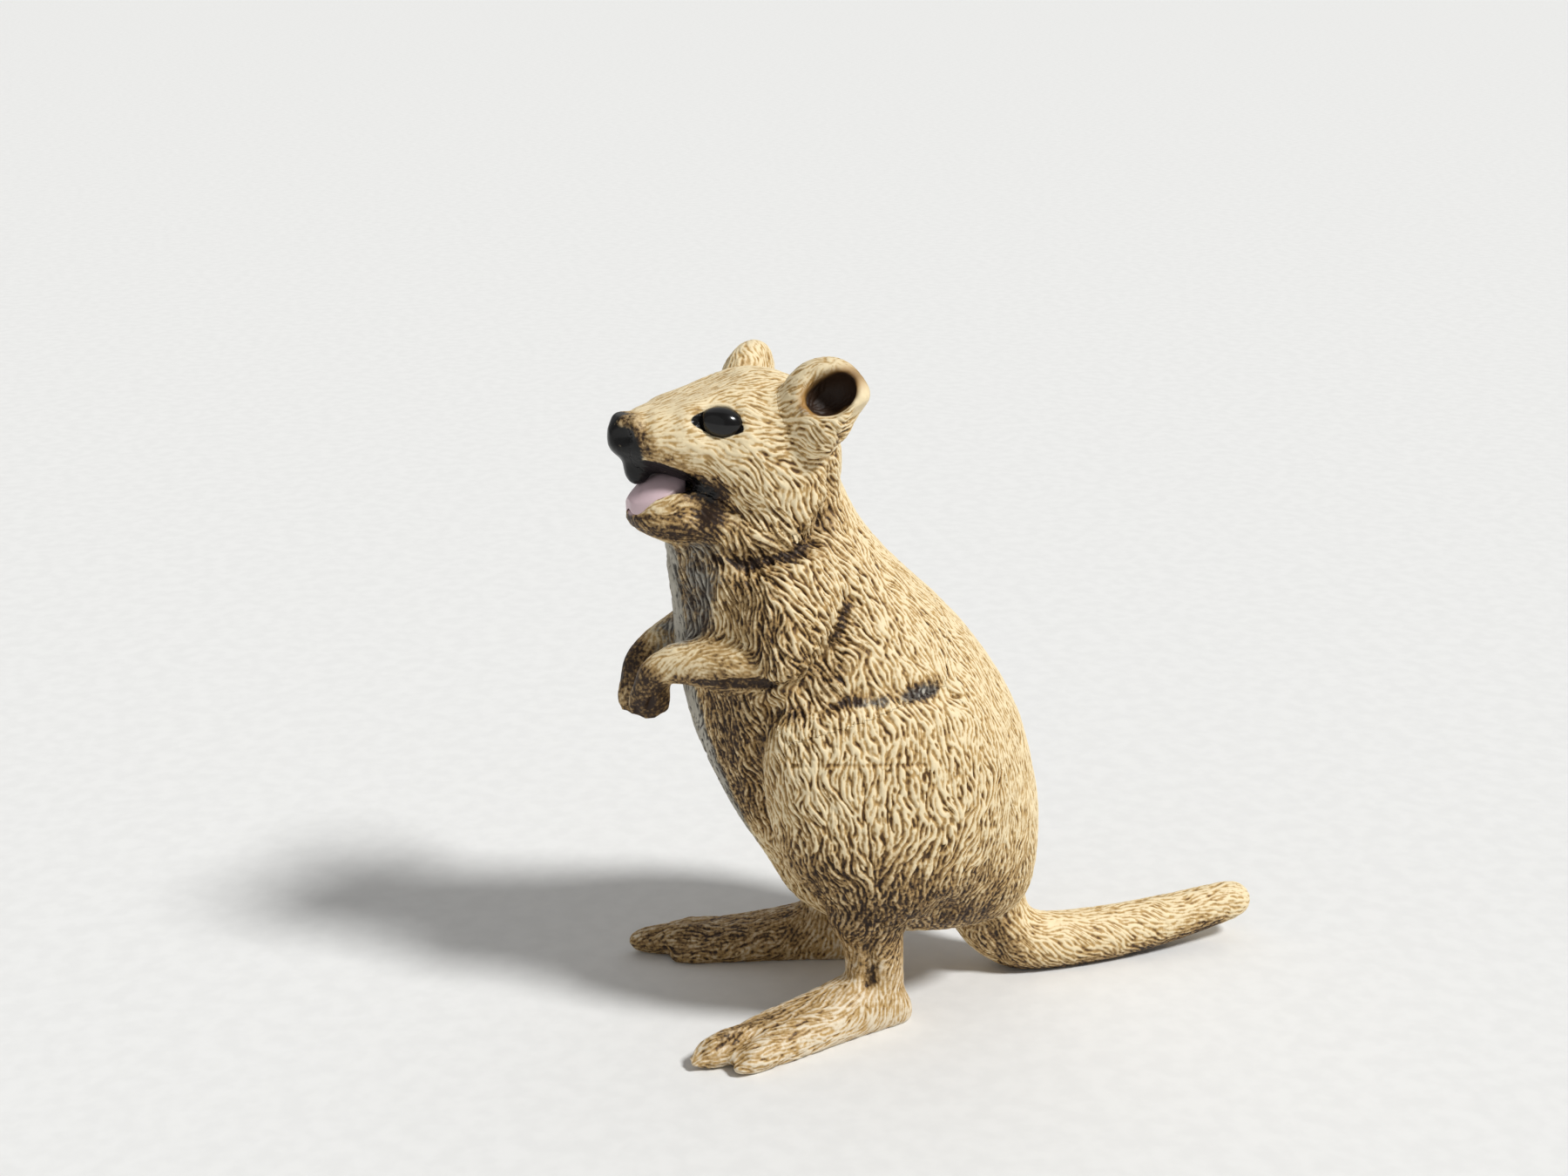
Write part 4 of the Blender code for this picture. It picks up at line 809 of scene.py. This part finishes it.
def comb(at, outward, shares):
    """The way the fur lies at each place, and the kind of the locks there."""
    lie = np.zeros((len(at), 3), np.float32)
    kind = np.zeros((len(at), 3), np.float32)
    families = [look[0] for look in CASTINGS.values()]
    for family, guides in COMBING.items():
        place = FAMILY_PLACE[family]
        belongs = shares[:, [k for k, name in enumerate(families) if name == family]].sum(axis=1)
        inside = np.flatnonzero(belongs > 0.01)
        total = np.full(len(inside), 1e-9)
        ways = np.zeros((len(inside), 3))
        kinds = np.zeros((len(inside), 3))
        for spot, way, size in guides:
            for side in BOTH:
                away = ((at[inside] - set_out([spot], place, side)[0]) ** 2).sum(axis=1)
                weight = 1 / (away + 1.5) ** 2
                total += weight
                ways += weight[:, None] * unit(set_ways([way], place, side)[0])
                kinds += weight[:, None] * np.array(size)
        lie[inside] += belongs[inside, None] * unit(ways)
        kind[inside] += belongs[inside, None] * kinds / total[:, None]
    return flatten(lie, outward), kind


def flatten(ways, outward):
    """Ways laid down on the skin, at unit length."""
    return unit(ways - outward * np.einsum("ij,ij->i", ways, outward)[:, None])


def ridges(weave, steps, spread, rounds, dice):
    """A pattern from -1 in grooves to 1 on ridges that run along the steps, wider with the spread."""
    flaws = weave.walk(dice.standard_normal(len(spread)).astype(np.float32), steps, 6)
    flaws *= LOCK_CHANCE / flaws.std()
    pattern = 2.5 * flaws
    for _ in range(rounds):
        # Drawn out along the steps, then set off against what lies around it
        streak = weave.relax(weave.walk(pattern, steps, 2), 1, 0.2)
        contrast = LOCK_CONTRAST * (streak - weave.relax(streak, 4, spread))
        pattern = np.tanh(contrast + flaws + LOCK_FULLNESS)
    return pattern


def comb_clay(clay, weave, shares, settings):
    """Lays the fur's ways on the clay with a slow wave in them, and gathers it in clumps."""
    mesh = clay.data
    at, outward = places_of(mesh), normals_of(mesh)
    dice = np.random.default_rng(settings.seed)
    lie, kind = comb(at, outward, shares)
    # The clay's own unevenness is left out, so that the locks run smoothly over it
    outward = unit(weave.relax(outward, 6))
    lie = flatten(weave.relax(lie, 16), outward)
    bend = weave.relax(dice.standard_normal(len(at)).astype(np.float32), settings.wave_rounds)
    angle = (settings.wave * bend / bend.std())[:, None]
    lie = lie * np.cos(angle) + np.cross(outward, lie) * np.sin(angle)
    clumps = ridges(weave, weave.aim(at, lie, outward), np.full(len(at), 0.9, np.float32), 8, dice)
    kind = weave.relax(kind, 6)
    kind[:, 2] *= weave.relax(clumps, 1)
    write_vectors(mesh, "lie", lie)
    write_vectors(mesh, "kind", kind)


def cut_fur(clay, settings):
    """Raises the locks, scores the fine lines and writes the grooves that the wash runs into."""
    mesh = clay.data
    lie, kind = take_vectors(mesh, "lie"), take_vectors(mesh, "kind")
    at, outward = places_of(mesh), normals_of(mesh)
    weave = Weave(mesh)
    width, depth, clump = kind.T
    steps = weave.aim(at, flatten(lie, outward), outward)
    spread = np.clip((width / settings.clay_grain / LOCK_GRAINS) ** 2, 0.35, 1)
    dice = np.random.default_rng(settings.seed + 1)
    strands = weave.relax(ridges(weave, steps, spread, settings.strand_rounds, dice), 1)
    # 0 on a ridge and 1 in a groove, with the middle of a clump raised
    hollow = np.clip(0.5 - 0.5 * strands - 0.25 * clump, 0, 1.2)
    height = 0.5 - hollow**1.4 + 0.35 * clump
    keep = 1 - np.clip(paint_channel(at, outward, BRUSHWORK["bare"]), 0, 1)
    lift = height * depth * keep * settings.depth
    scored = np.zeros(len(at), np.float32)
    for touched, pressure, amount in strokes(at, SCORING):
        scored[touched] = np.maximum(scored[touched], pressure * amount)
    raised = at + outward * (lift - scored)[:, None]
    raised[:, 2] = np.maximum(raised[:, 2], 0)
    set_places(mesh, raised)
    groove = hollow**1.3 * keep * np.clip(0.3 + 5 * depth, 0, 1) + 3.5 * scored
    write_channel(mesh, "groove", np.clip(groove, 0, 1))


def paint_channel(at, outward, table):
    """How thick the paint of these strokes lies, where the thickest stroke counts."""
    paint = np.zeros(len(at), np.float32)
    for touched, pressure, amount in strokes(at, table, outward):
        paint[touched] = np.maximum(paint[touched], pressure * amount)
    return paint


def brush(clay, half_slit):
    """Writes each of the painter's channels over the skin, with black in the eyes' slits."""
    mesh = clay.data
    at, outward = places_of(mesh), normals_of(mesh)
    for channel in CHANNELS[1:]:
        paint = paint_channel(at, outward, BRUSHWORK[channel])
        if channel == "black_and_shade":
            for side in BOTH:
                ring, _ = almond(at, side, half_slit)
                paint = np.maximum(paint, smoothstep(-ring, -1.25, -0.95))
        write_channel(mesh, channel, np.clip(paint, 0, 1))


# Parting

def mark_castings(clay, shares):
    """Gives each face of the clay the material that stands for its casting, or for its patch of torso."""
    mesh = clay.data
    while mesh.materials:
        mesh.materials.pop()
    for name in (*CASTINGS, *PATCHES):
        mesh.materials.append(bpy.data.materials.new(name))
    corners = corners_of(mesh)
    winners = shares[corners].sum(axis=1).argmax(axis=1)
    middles = places_of(mesh)[corners].mean(axis=1)
    seeds = set_out(PATCHES.values(), "body")
    nearest = np.argmin([((middles - seed) ** 2).sum(axis=1) for seed in seeds], axis=0)
    torso = list(CASTINGS).index("torso")
    winners = np.where(winners == torso, len(CASTINGS) + nearest, winners)
    mesh.polygons.foreach_set("material_index", winners.astype(np.int32))


def part_body(clay):
    """Separates the skin into its pieces."""
    activate(clay)
    edit(bpy.ops.mesh.separate, type="MATERIAL")
    return {piece.data.materials[0].name: piece for piece in bpy.context.selected_objects}


def close_piece(piece, cone_tip):
    """Closes each open edge with a cone that points into the body, and brings the piece to metres."""
    shell = bmesh.new()
    shell.from_mesh(piece.data)
    rims = [edge for edge in shell.edges if edge.is_boundary]
    caps = bmesh.ops.holes_fill(shell, edges=rims, sides=0)["faces"]
    tips = bmesh.ops.poke(shell, faces=caps)["verts"]
    if cone_tip is not None:
        widest = max(tips, key=lambda tip: len(tip.link_edges))
        widest.co = set_out([cone_tip], "body")[0]
    bmesh.ops.scale(shell, vec=(MM, MM, MM), verts=shell.verts)
    shell.to_mesh(piece.data)
    shell.free()


# Materials

def add_node(tree, kind, inputs=(), **settings):
    """A shader node with these settings, whose inputs are set or linked by index or name."""
    node = tree.nodes.new(kind)
    for name, value in settings.items():
        setattr(node, name, value)
    for key, value in dict(inputs).items():
        if isinstance(value, bpy.types.NodeSocket):
            tree.links.new(value, node.inputs[key])
        else:
            node.inputs[key].default_value = value
    return node


def new_finish(name, roughness):
    """A material with its nodes and its shader."""
    finish = bpy.data.materials.new(name)
    finish.use_nodes = True
    tree = finish.node_tree
    shader = tree.nodes["Principled BSDF"]
    shader.inputs["Roughness"].default_value = roughness
    return finish, tree, shader


def cloud(tree, size):
    """A value from 0 to 1 that varies in clouds about this many millimetres across."""
    coords = add_node(tree, "ShaderNodeTexCoord").outputs["Object"]
    settings = {"Vector": coords, "Scale": 1 / (size * MM), "Detail": 2}
    return add_node(tree, "ShaderNodeTexNoise", settings).outputs["Fac"]


def blend(tree, readings):
    """A sum of values, each times its weight, as one socket."""
    total = 0.0
    for value, weight in readings:
        parts = {0: value, 1: weight, 2: total}
        total = add_node(tree, "ShaderNodeMath", parts, operation="MULTIPLY_ADD").outputs[0]
    return total


def coat(tree, under, paint, value, low, high):
    """Paint over a colour where a value rises from low to high, as a colour and as a cover of 0 to 1."""
    edge = {"Value": value, "From Min": low, "From Max": high}
    cover = add_node(tree, "ShaderNodeMapRange", edge, interpolation_type="SMOOTHSTEP").outputs[0]
    over = add_node(tree, "ShaderNodeMix", {0: cover, 6: under, 7: (*paint, 1)}, data_type="RGBA")
    return over.outputs[2], cover


def tint(tree, shader, paint, shade, size, low, high):
    """One paint that is a little thinner or thicker in clouds of this size."""
    look, _ = coat(tree, (*paint, 1), [part * shade for part in paint], cloud(tree, size), low, high)
    tree.links.new(look, shader.inputs["Base Color"])


def ripple(tree, shader, size, strength, distance):
    """The slight unevenness of a painted surface, in millimetres."""
    settings = {"Height": cloud(tree, size), "Strength": strength, "Distance": distance * MM}
    bump = add_node(tree, "ShaderNodeBump", settings)
    tree.links.new(bump.outputs["Normal"], shader.inputs["Normal"])


# Moulded vinyl under thin acrylic: a matt skin with weak, wide highlights, so that the colour changes
# alone draw the fur. Dry-brushed tips are pale and even, a wash has run brown into the grooves, and
# the sprayed darks of paws, lips and creases end in speckled edges. The same browns also lay painted
# shade under the forearms and the ruff, over the lower haunches, shins and far foot and along the
# tail's underside, and the black lays painted shade in the mouth's cavity. Thick black is satin.
def painted_vinyl(name, paint, tips, roughness):
    """Soft vinyl painted by hand, from the channels that the brush wrote."""
    finish, tree, shader = new_finish(name, roughness)
    channel = {
        key: add_node(tree, "ShaderNodeAttribute", attribute_name=key).outputs["Fac"] for key in CHANNELS
    }
    blotch, speckle = cloud(tree, 1.6), cloud(tree, 0.28)
    ragged = ((blotch, 0.5), (speckle, 0.5), (1.0, -0.5))
    patchy = blend(tree, ((cloud(tree, 0.9), 2.0), (1.0, -0.15)))
    washed = blend(tree, ((channel["groove"], patchy),))
    # the grooves' wash, with the painted shade of the umber strokes added in
    wash_and_shade = blend(tree, ((washed, 1.0), (channel["umber"], 0.5), *ragged))
    look, _ = coat(tree, (*tips, 1), paint.tan, wash_and_shade, 0.08, 0.50)
    look, _ = coat(tree, look, paint.wash, wash_and_shade, 0.45, 1.00)
    # thin brown paint, and painted shade where the umber strokes lay it
    soil_and_shade_cover = blend(tree, ((channel["umber"], 0.8), (channel["groove"], 0.4), (1.0, -0.08), *ragged))
    look, _ = coat(tree, look, paint.soil_and_shade, soil_and_shade_cover, 0.15, 0.95)
    mottled = ((channel["slate"], 1.6), (blotch, 1.0), (speckle, 0.7), (1.0, -1.2))
    look, _ = coat(tree, look, paint.slate, blend(tree, mottled), 0.15, 0.80)
    ash = blend(tree, ((washed, -1.1), (channel["umber"], -0.4), *mottled))
    look, _ = coat(tree, look, paint.ash, ash, 0.10, 0.70)
    dark = ((channel["umber"], 1.0), (washed, 0.55), (blotch, 0.4), (speckle, 1.4), (1.0, -0.9))
    look, _ = coat(tree, look, paint.umber, blend(tree, dark), 0.62, 1.15)
    look, _ = coat(tree, look, paint.pink, channel["pink"], 0.25, 0.55)
    look, _ = coat(tree, look, paint.amber, channel["amber"], 0.10, 0.60)
    gloom = blend(tree, ((channel["gloom"], 1.0), (blotch, 0.2)))
    look, _ = coat(tree, look, paint.umber, gloom, 0.30, 0.75)
    # black paint, and painted shade in the mouth's cavity
    black_edge = blend(tree, ((channel["black_and_shade"], 1.0), (speckle, 0.6), (blotch, 0.4), (1.0, -0.5)))
    look, black = coat(tree, look, paint.black, black_edge, 0.22, 0.70)
    tree.links.new(look, shader.inputs["Base Color"])
    shader.inputs["Specular IOR Level"].default_value = 0.3
    gloss = add_node(tree, "ShaderNodeMix", {0: black, 2: roughness, 3: 0.26}, data_type="FLOAT")
    tree.links.new(gloss.outputs[0], shader.inputs["Roughness"])
    ripple(tree, shader, 0.12, 0.3, 0.03)
    return finish


# Black gloss enamel in one thick drop: nearly no colour of its own, and the key lamp stands in it as
# one small bright light, which makes the eye look wet.
def gloss_enamel(paint):
    finish, tree, shader = new_finish("black gloss enamel", 0.16)
    tint(tree, shader, paint, 1.6, 0.8, 0.3, 0.7)
    shader.inputs["Specular IOR Level"].default_value = 0.4
    ripple(tree, shader, 0.5, 0.08, 0.02)
    return finish


# Satin acrylic in pale pink on smooth vinyl: soft broad highlights and a darker, uneven hue, which
# read as moist flesh beside the matt fur.
def satin_pink(paint):
    finish, tree, shader = new_finish("satin pink paint", 0.35)
    tint(tree, shader, paint, 0.7, 1.5, 0.45, 0.8)
    ripple(tree, shader, 0.4, 0.15, 0.05)
    return finish


# Uncoated pale board, pressed and matt: no highlight at all, only the soft shadow and faint clouds.
def matt_board(paint):
    finish, tree, shader = new_finish("pale matt board", 0.9)
    tint(tree, shader, paint, 0.96, 2.0, 0.3, 0.7)
    return finish


# Operators

def finish_piece(piece, name, nodes, material):
    """Names and paints a piece, and hands it over in place of its nodes."""
    piece.name = name
    piece.data.name = name
    piece.data.materials.clear()
    piece.data.materials.append(material)
    piece.data.polygons.foreach_set("use_smooth", np.ones(len(piece.data.polygons), bool))
    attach(piece, "root")
    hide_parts(*nodes)


class FIGURINE_OT_skins(bpy.types.Operator):
    """Sculpt, comb, paint and part the figurine's body"""

    bl_idname = "figurine.skins"
    bl_label = "Furred skins"

    def execute(self, context):
        fur, eyes = context.scene.figurine_fur, context.scene.figurine_eyes
        paint = context.scene.figurine_paint
        clay = fuse_clay(fur.closing, fur.clay_grain)
        shape_clay(clay, fur.rounds)
        knead(clay, fur.clay_grain)
        weave, shares = open_eyes(clay, eyes.slit)
        comb_clay(clay, weave, shares, fur)
        mark_castings(clay, shares)
        split_finer(clay)
        cut_fur(clay, fur)
        brush(clay, eyes.slit)
        finishes = {
            "painted_fur": painted_vinyl("painted vinyl fur", paint, paint.cream, 0.55),
            "painted_skin": painted_vinyl("painted vinyl skin", paint, paint.bone, 0.50),
            "gloss_black": painted_vinyl("satin black paint", paint, paint.cream, 0.45),
        }
        for name, piece in part_body(clay).items():
            casting = "torso" if name in PATCHES else name
            slot = CASTINGS[casting][1]
            close_piece(piece, CONE_TIPS.get(name))
            finish_piece(piece, f"{name}_skin", [casting], finishes[slot])
        return {"FINISHED"}


class FIGURINE_OT_eyes(bpy.types.Operator):
    """Set the two glossy eyes between their lids"""

    bl_idname = "figurine.eyes"
    bl_label = "Eyes"

    def execute(self, context):
        eyes, paint = context.scene.figurine_eyes, context.scene.figurine_paint
        enamel = gloss_enamel(paint.black)
        for side, node in ((1, "left_eye"), (-1, "right_eye")):
            middle, slit, upward, outward = eye_frame(side)
            bpy.ops.object.select_all(action="DESELECT")
            bpy.ops.mesh.primitive_uv_sphere_add(segments=48, ring_count=32, radius=0.5)
            ball = bpy.context.view_layer.objects.active
            ball.data.transform(Matrix.Diagonal((eyes.width * MM, eyes.height * MM, eyes.depth * MM, 1)))
            turn = Matrix([list(map(float, way)) for way in (slit, upward, outward)]).transposed().to_4x4()
            place = middle + slit * EYE_REAR - outward * eyes.setback
            ball.data.transform(Matrix.Translation(Vector(place) * MM) @ turn)
            if side < 0:  # its ways are a mirror image, which turns the ball inside out
                ball.data.flip_normals()
            finish_piece(ball, f"{node}_ball", [node], enamel)
        return {"FINISHED"}


class FIGURINE_OT_tongue(bpy.types.Operator):
    """Line the open mouth with its pale floor and tongue"""

    bl_idname = "figurine.tongue"
    bl_label = "Tongue"

    def execute(self, context):
        bpy.ops.object.select_all(action="DESELECT")
        bpy.ops.mesh.primitive_cube_add(size=1)
        tongue = bpy.context.view_layer.objects.active
        edit(bpy.ops.mesh.subdivide, number_cuts=9)
        across, along, up = places_of(tongue.data).T
        share = 0.5 - along
        half, edge, ridge = (
            np.interp(share, MOUTH_SHARES, row) for row in (MOUTH_HALF_WIDTHS, MOUTH_EDGE, MOUTH_RIDGE)
        )
        top = edge + (ridge - edge) * (1 - (2 * across) ** 2)
        reach = MOUTH_REAR + MOUTH_LENGTH * share
        height = top + (up - 0.5) * MOUTH_THICKNESS
        spots = np.stack([2 * across * half, -reach, height], axis=1)
        set_places(tongue.data, set_out(spots, "head") * MM)
        work(tongue, "SMOOTH", iterations=8)
        work(tongue, "SUBSURF", levels=2, render_levels=2)
        finish = satin_pink(context.scene.figurine_paint.pink)
        finish_piece(tongue, "tongue_pad", ["tongue"], finish)
        return {"FINISHED"}


class FIGURINE_OT_stage(bpy.types.Operator):
    """Put down the pale floor, the soft lamps and the camera"""

    bl_idname = "figurine.stage"
    bl_label = "Stage"

    def execute(self, context):
        bpy.ops.object.select_all(action="DESELECT")
        bpy.ops.mesh.primitive_plane_add(size=12)
        floor = bpy.context.view_layer.objects.active
        floor.name = "floor"
        floor.data.materials.append(matt_board(context.scene.figurine_paint.floor))
        world = bpy.data.worlds.new("pale room")
        context.scene.world = world
        world.use_nodes = True
        tree = world.node_tree
        backdrop = tree.nodes["Background"]
        rays = add_node(tree, "ShaderNodeLightPath").outputs
        seen = blend(tree, ((rays["Is Camera Ray"], 1.0), (rays["Is Transmission Ray"], 1.0)))
        strength = add_node(tree, "ShaderNodeMix", {0: seen, 2: ROOM_LIGHT, 3: ROOM_SEEN}, data_type="FLOAT")
        backdrop.inputs["Color"].default_value = (1, 1, 1, 1)
        tree.links.new(strength.outputs[0], backdrop.inputs["Strength"])
        for name, spot, spread, power in LAMPS:
            lamp = bpy.data.lights.new(name, "SUN")
            lamp.angle = math.radians(spread)
            lamp.energy = power * math.pi
            bulb = bpy.data.objects.new(name, lamp)
            bulb.location = Vector(spot) * MM
            ahead = Vector(MIDDLE) * MM - bulb.location
            bulb.rotation_euler = ahead.to_track_quat("-Z", "Y").to_euler()
            context.scene.collection.objects.link(bulb)
        camera = bpy.data.cameras.new("camera")
        camera.lens = LENS
        camera.sensor_width = SENSOR
        camera.clip_start = 0.005
        view = bpy.data.objects.new("camera", camera)
        view.location = Vector(CAMERA_SPOT) * MM
        azimuth, elevation = math.radians(CAMERA_AZIMUTH), math.radians(CAMERA_ELEVATION)
        level = math.cos(elevation)
        ahead = Vector((-math.sin(azimuth) * level, math.cos(azimuth) * level, -math.sin(elevation)))
        view.rotation_euler = ahead.to_track_quat("-Z", "Y").to_euler()
        context.scene.collection.objects.link(view)
        context.scene.camera = view
        context.scene.view_settings.view_transform = "Standard"
        return {"FINISHED"}


class FIGURINE_PT_panel(bpy.types.Panel):
    bl_idname = "FIGURINE_PT_panel"
    bl_label = "Quokka figurine"
    bl_space_type = "VIEW_3D"
    bl_region_type = "UI"
    bl_category = "Figurine"

    def draw(self, context):
        for place in GROUPS:
            group = getattr(context.scene, place)
            box = self.layout.box()
            for key in group.__annotations__:
                box.prop(group, key)
        for operator in OPERATORS:
            self.layout.operator(operator.bl_idname)


OPERATORS = (FIGURINE_OT_skins, FIGURINE_OT_eyes, FIGURINE_OT_tongue, FIGURINE_OT_stage)
GROUPS = {
    "figurine_fur": FIGURINE_PG_fur,
    "figurine_eyes": FIGURINE_PG_eyes,
    "figurine_paint": FIGURINE_PG_paint,
}


def register():
    for group in GROUPS.values():
        bpy.utils.register_class(group)
    for key, group in GROUPS.items():
        setattr(bpy.types.Scene, key, PointerProperty(type=group))
    for operator in OPERATORS:
        bpy.utils.register_class(operator)
    bpy.utils.register_class(FIGURINE_PT_panel)


def unregister():
    bpy.utils.unregister_class(FIGURINE_PT_panel)
    for operator in reversed(OPERATORS):
        bpy.utils.unregister_class(operator)
    for key in GROUPS:
        delattr(bpy.types.Scene, key)
    for group in reversed(GROUPS.values()):
        bpy.utils.unregister_class(group)


def main():
    register()
    bpy.ops.figurine.skins()
    bpy.ops.figurine.eyes()
    bpy.ops.figurine.tongue()
    bpy.ops.figurine.stage()


if __name__ == "__main__":
    main()
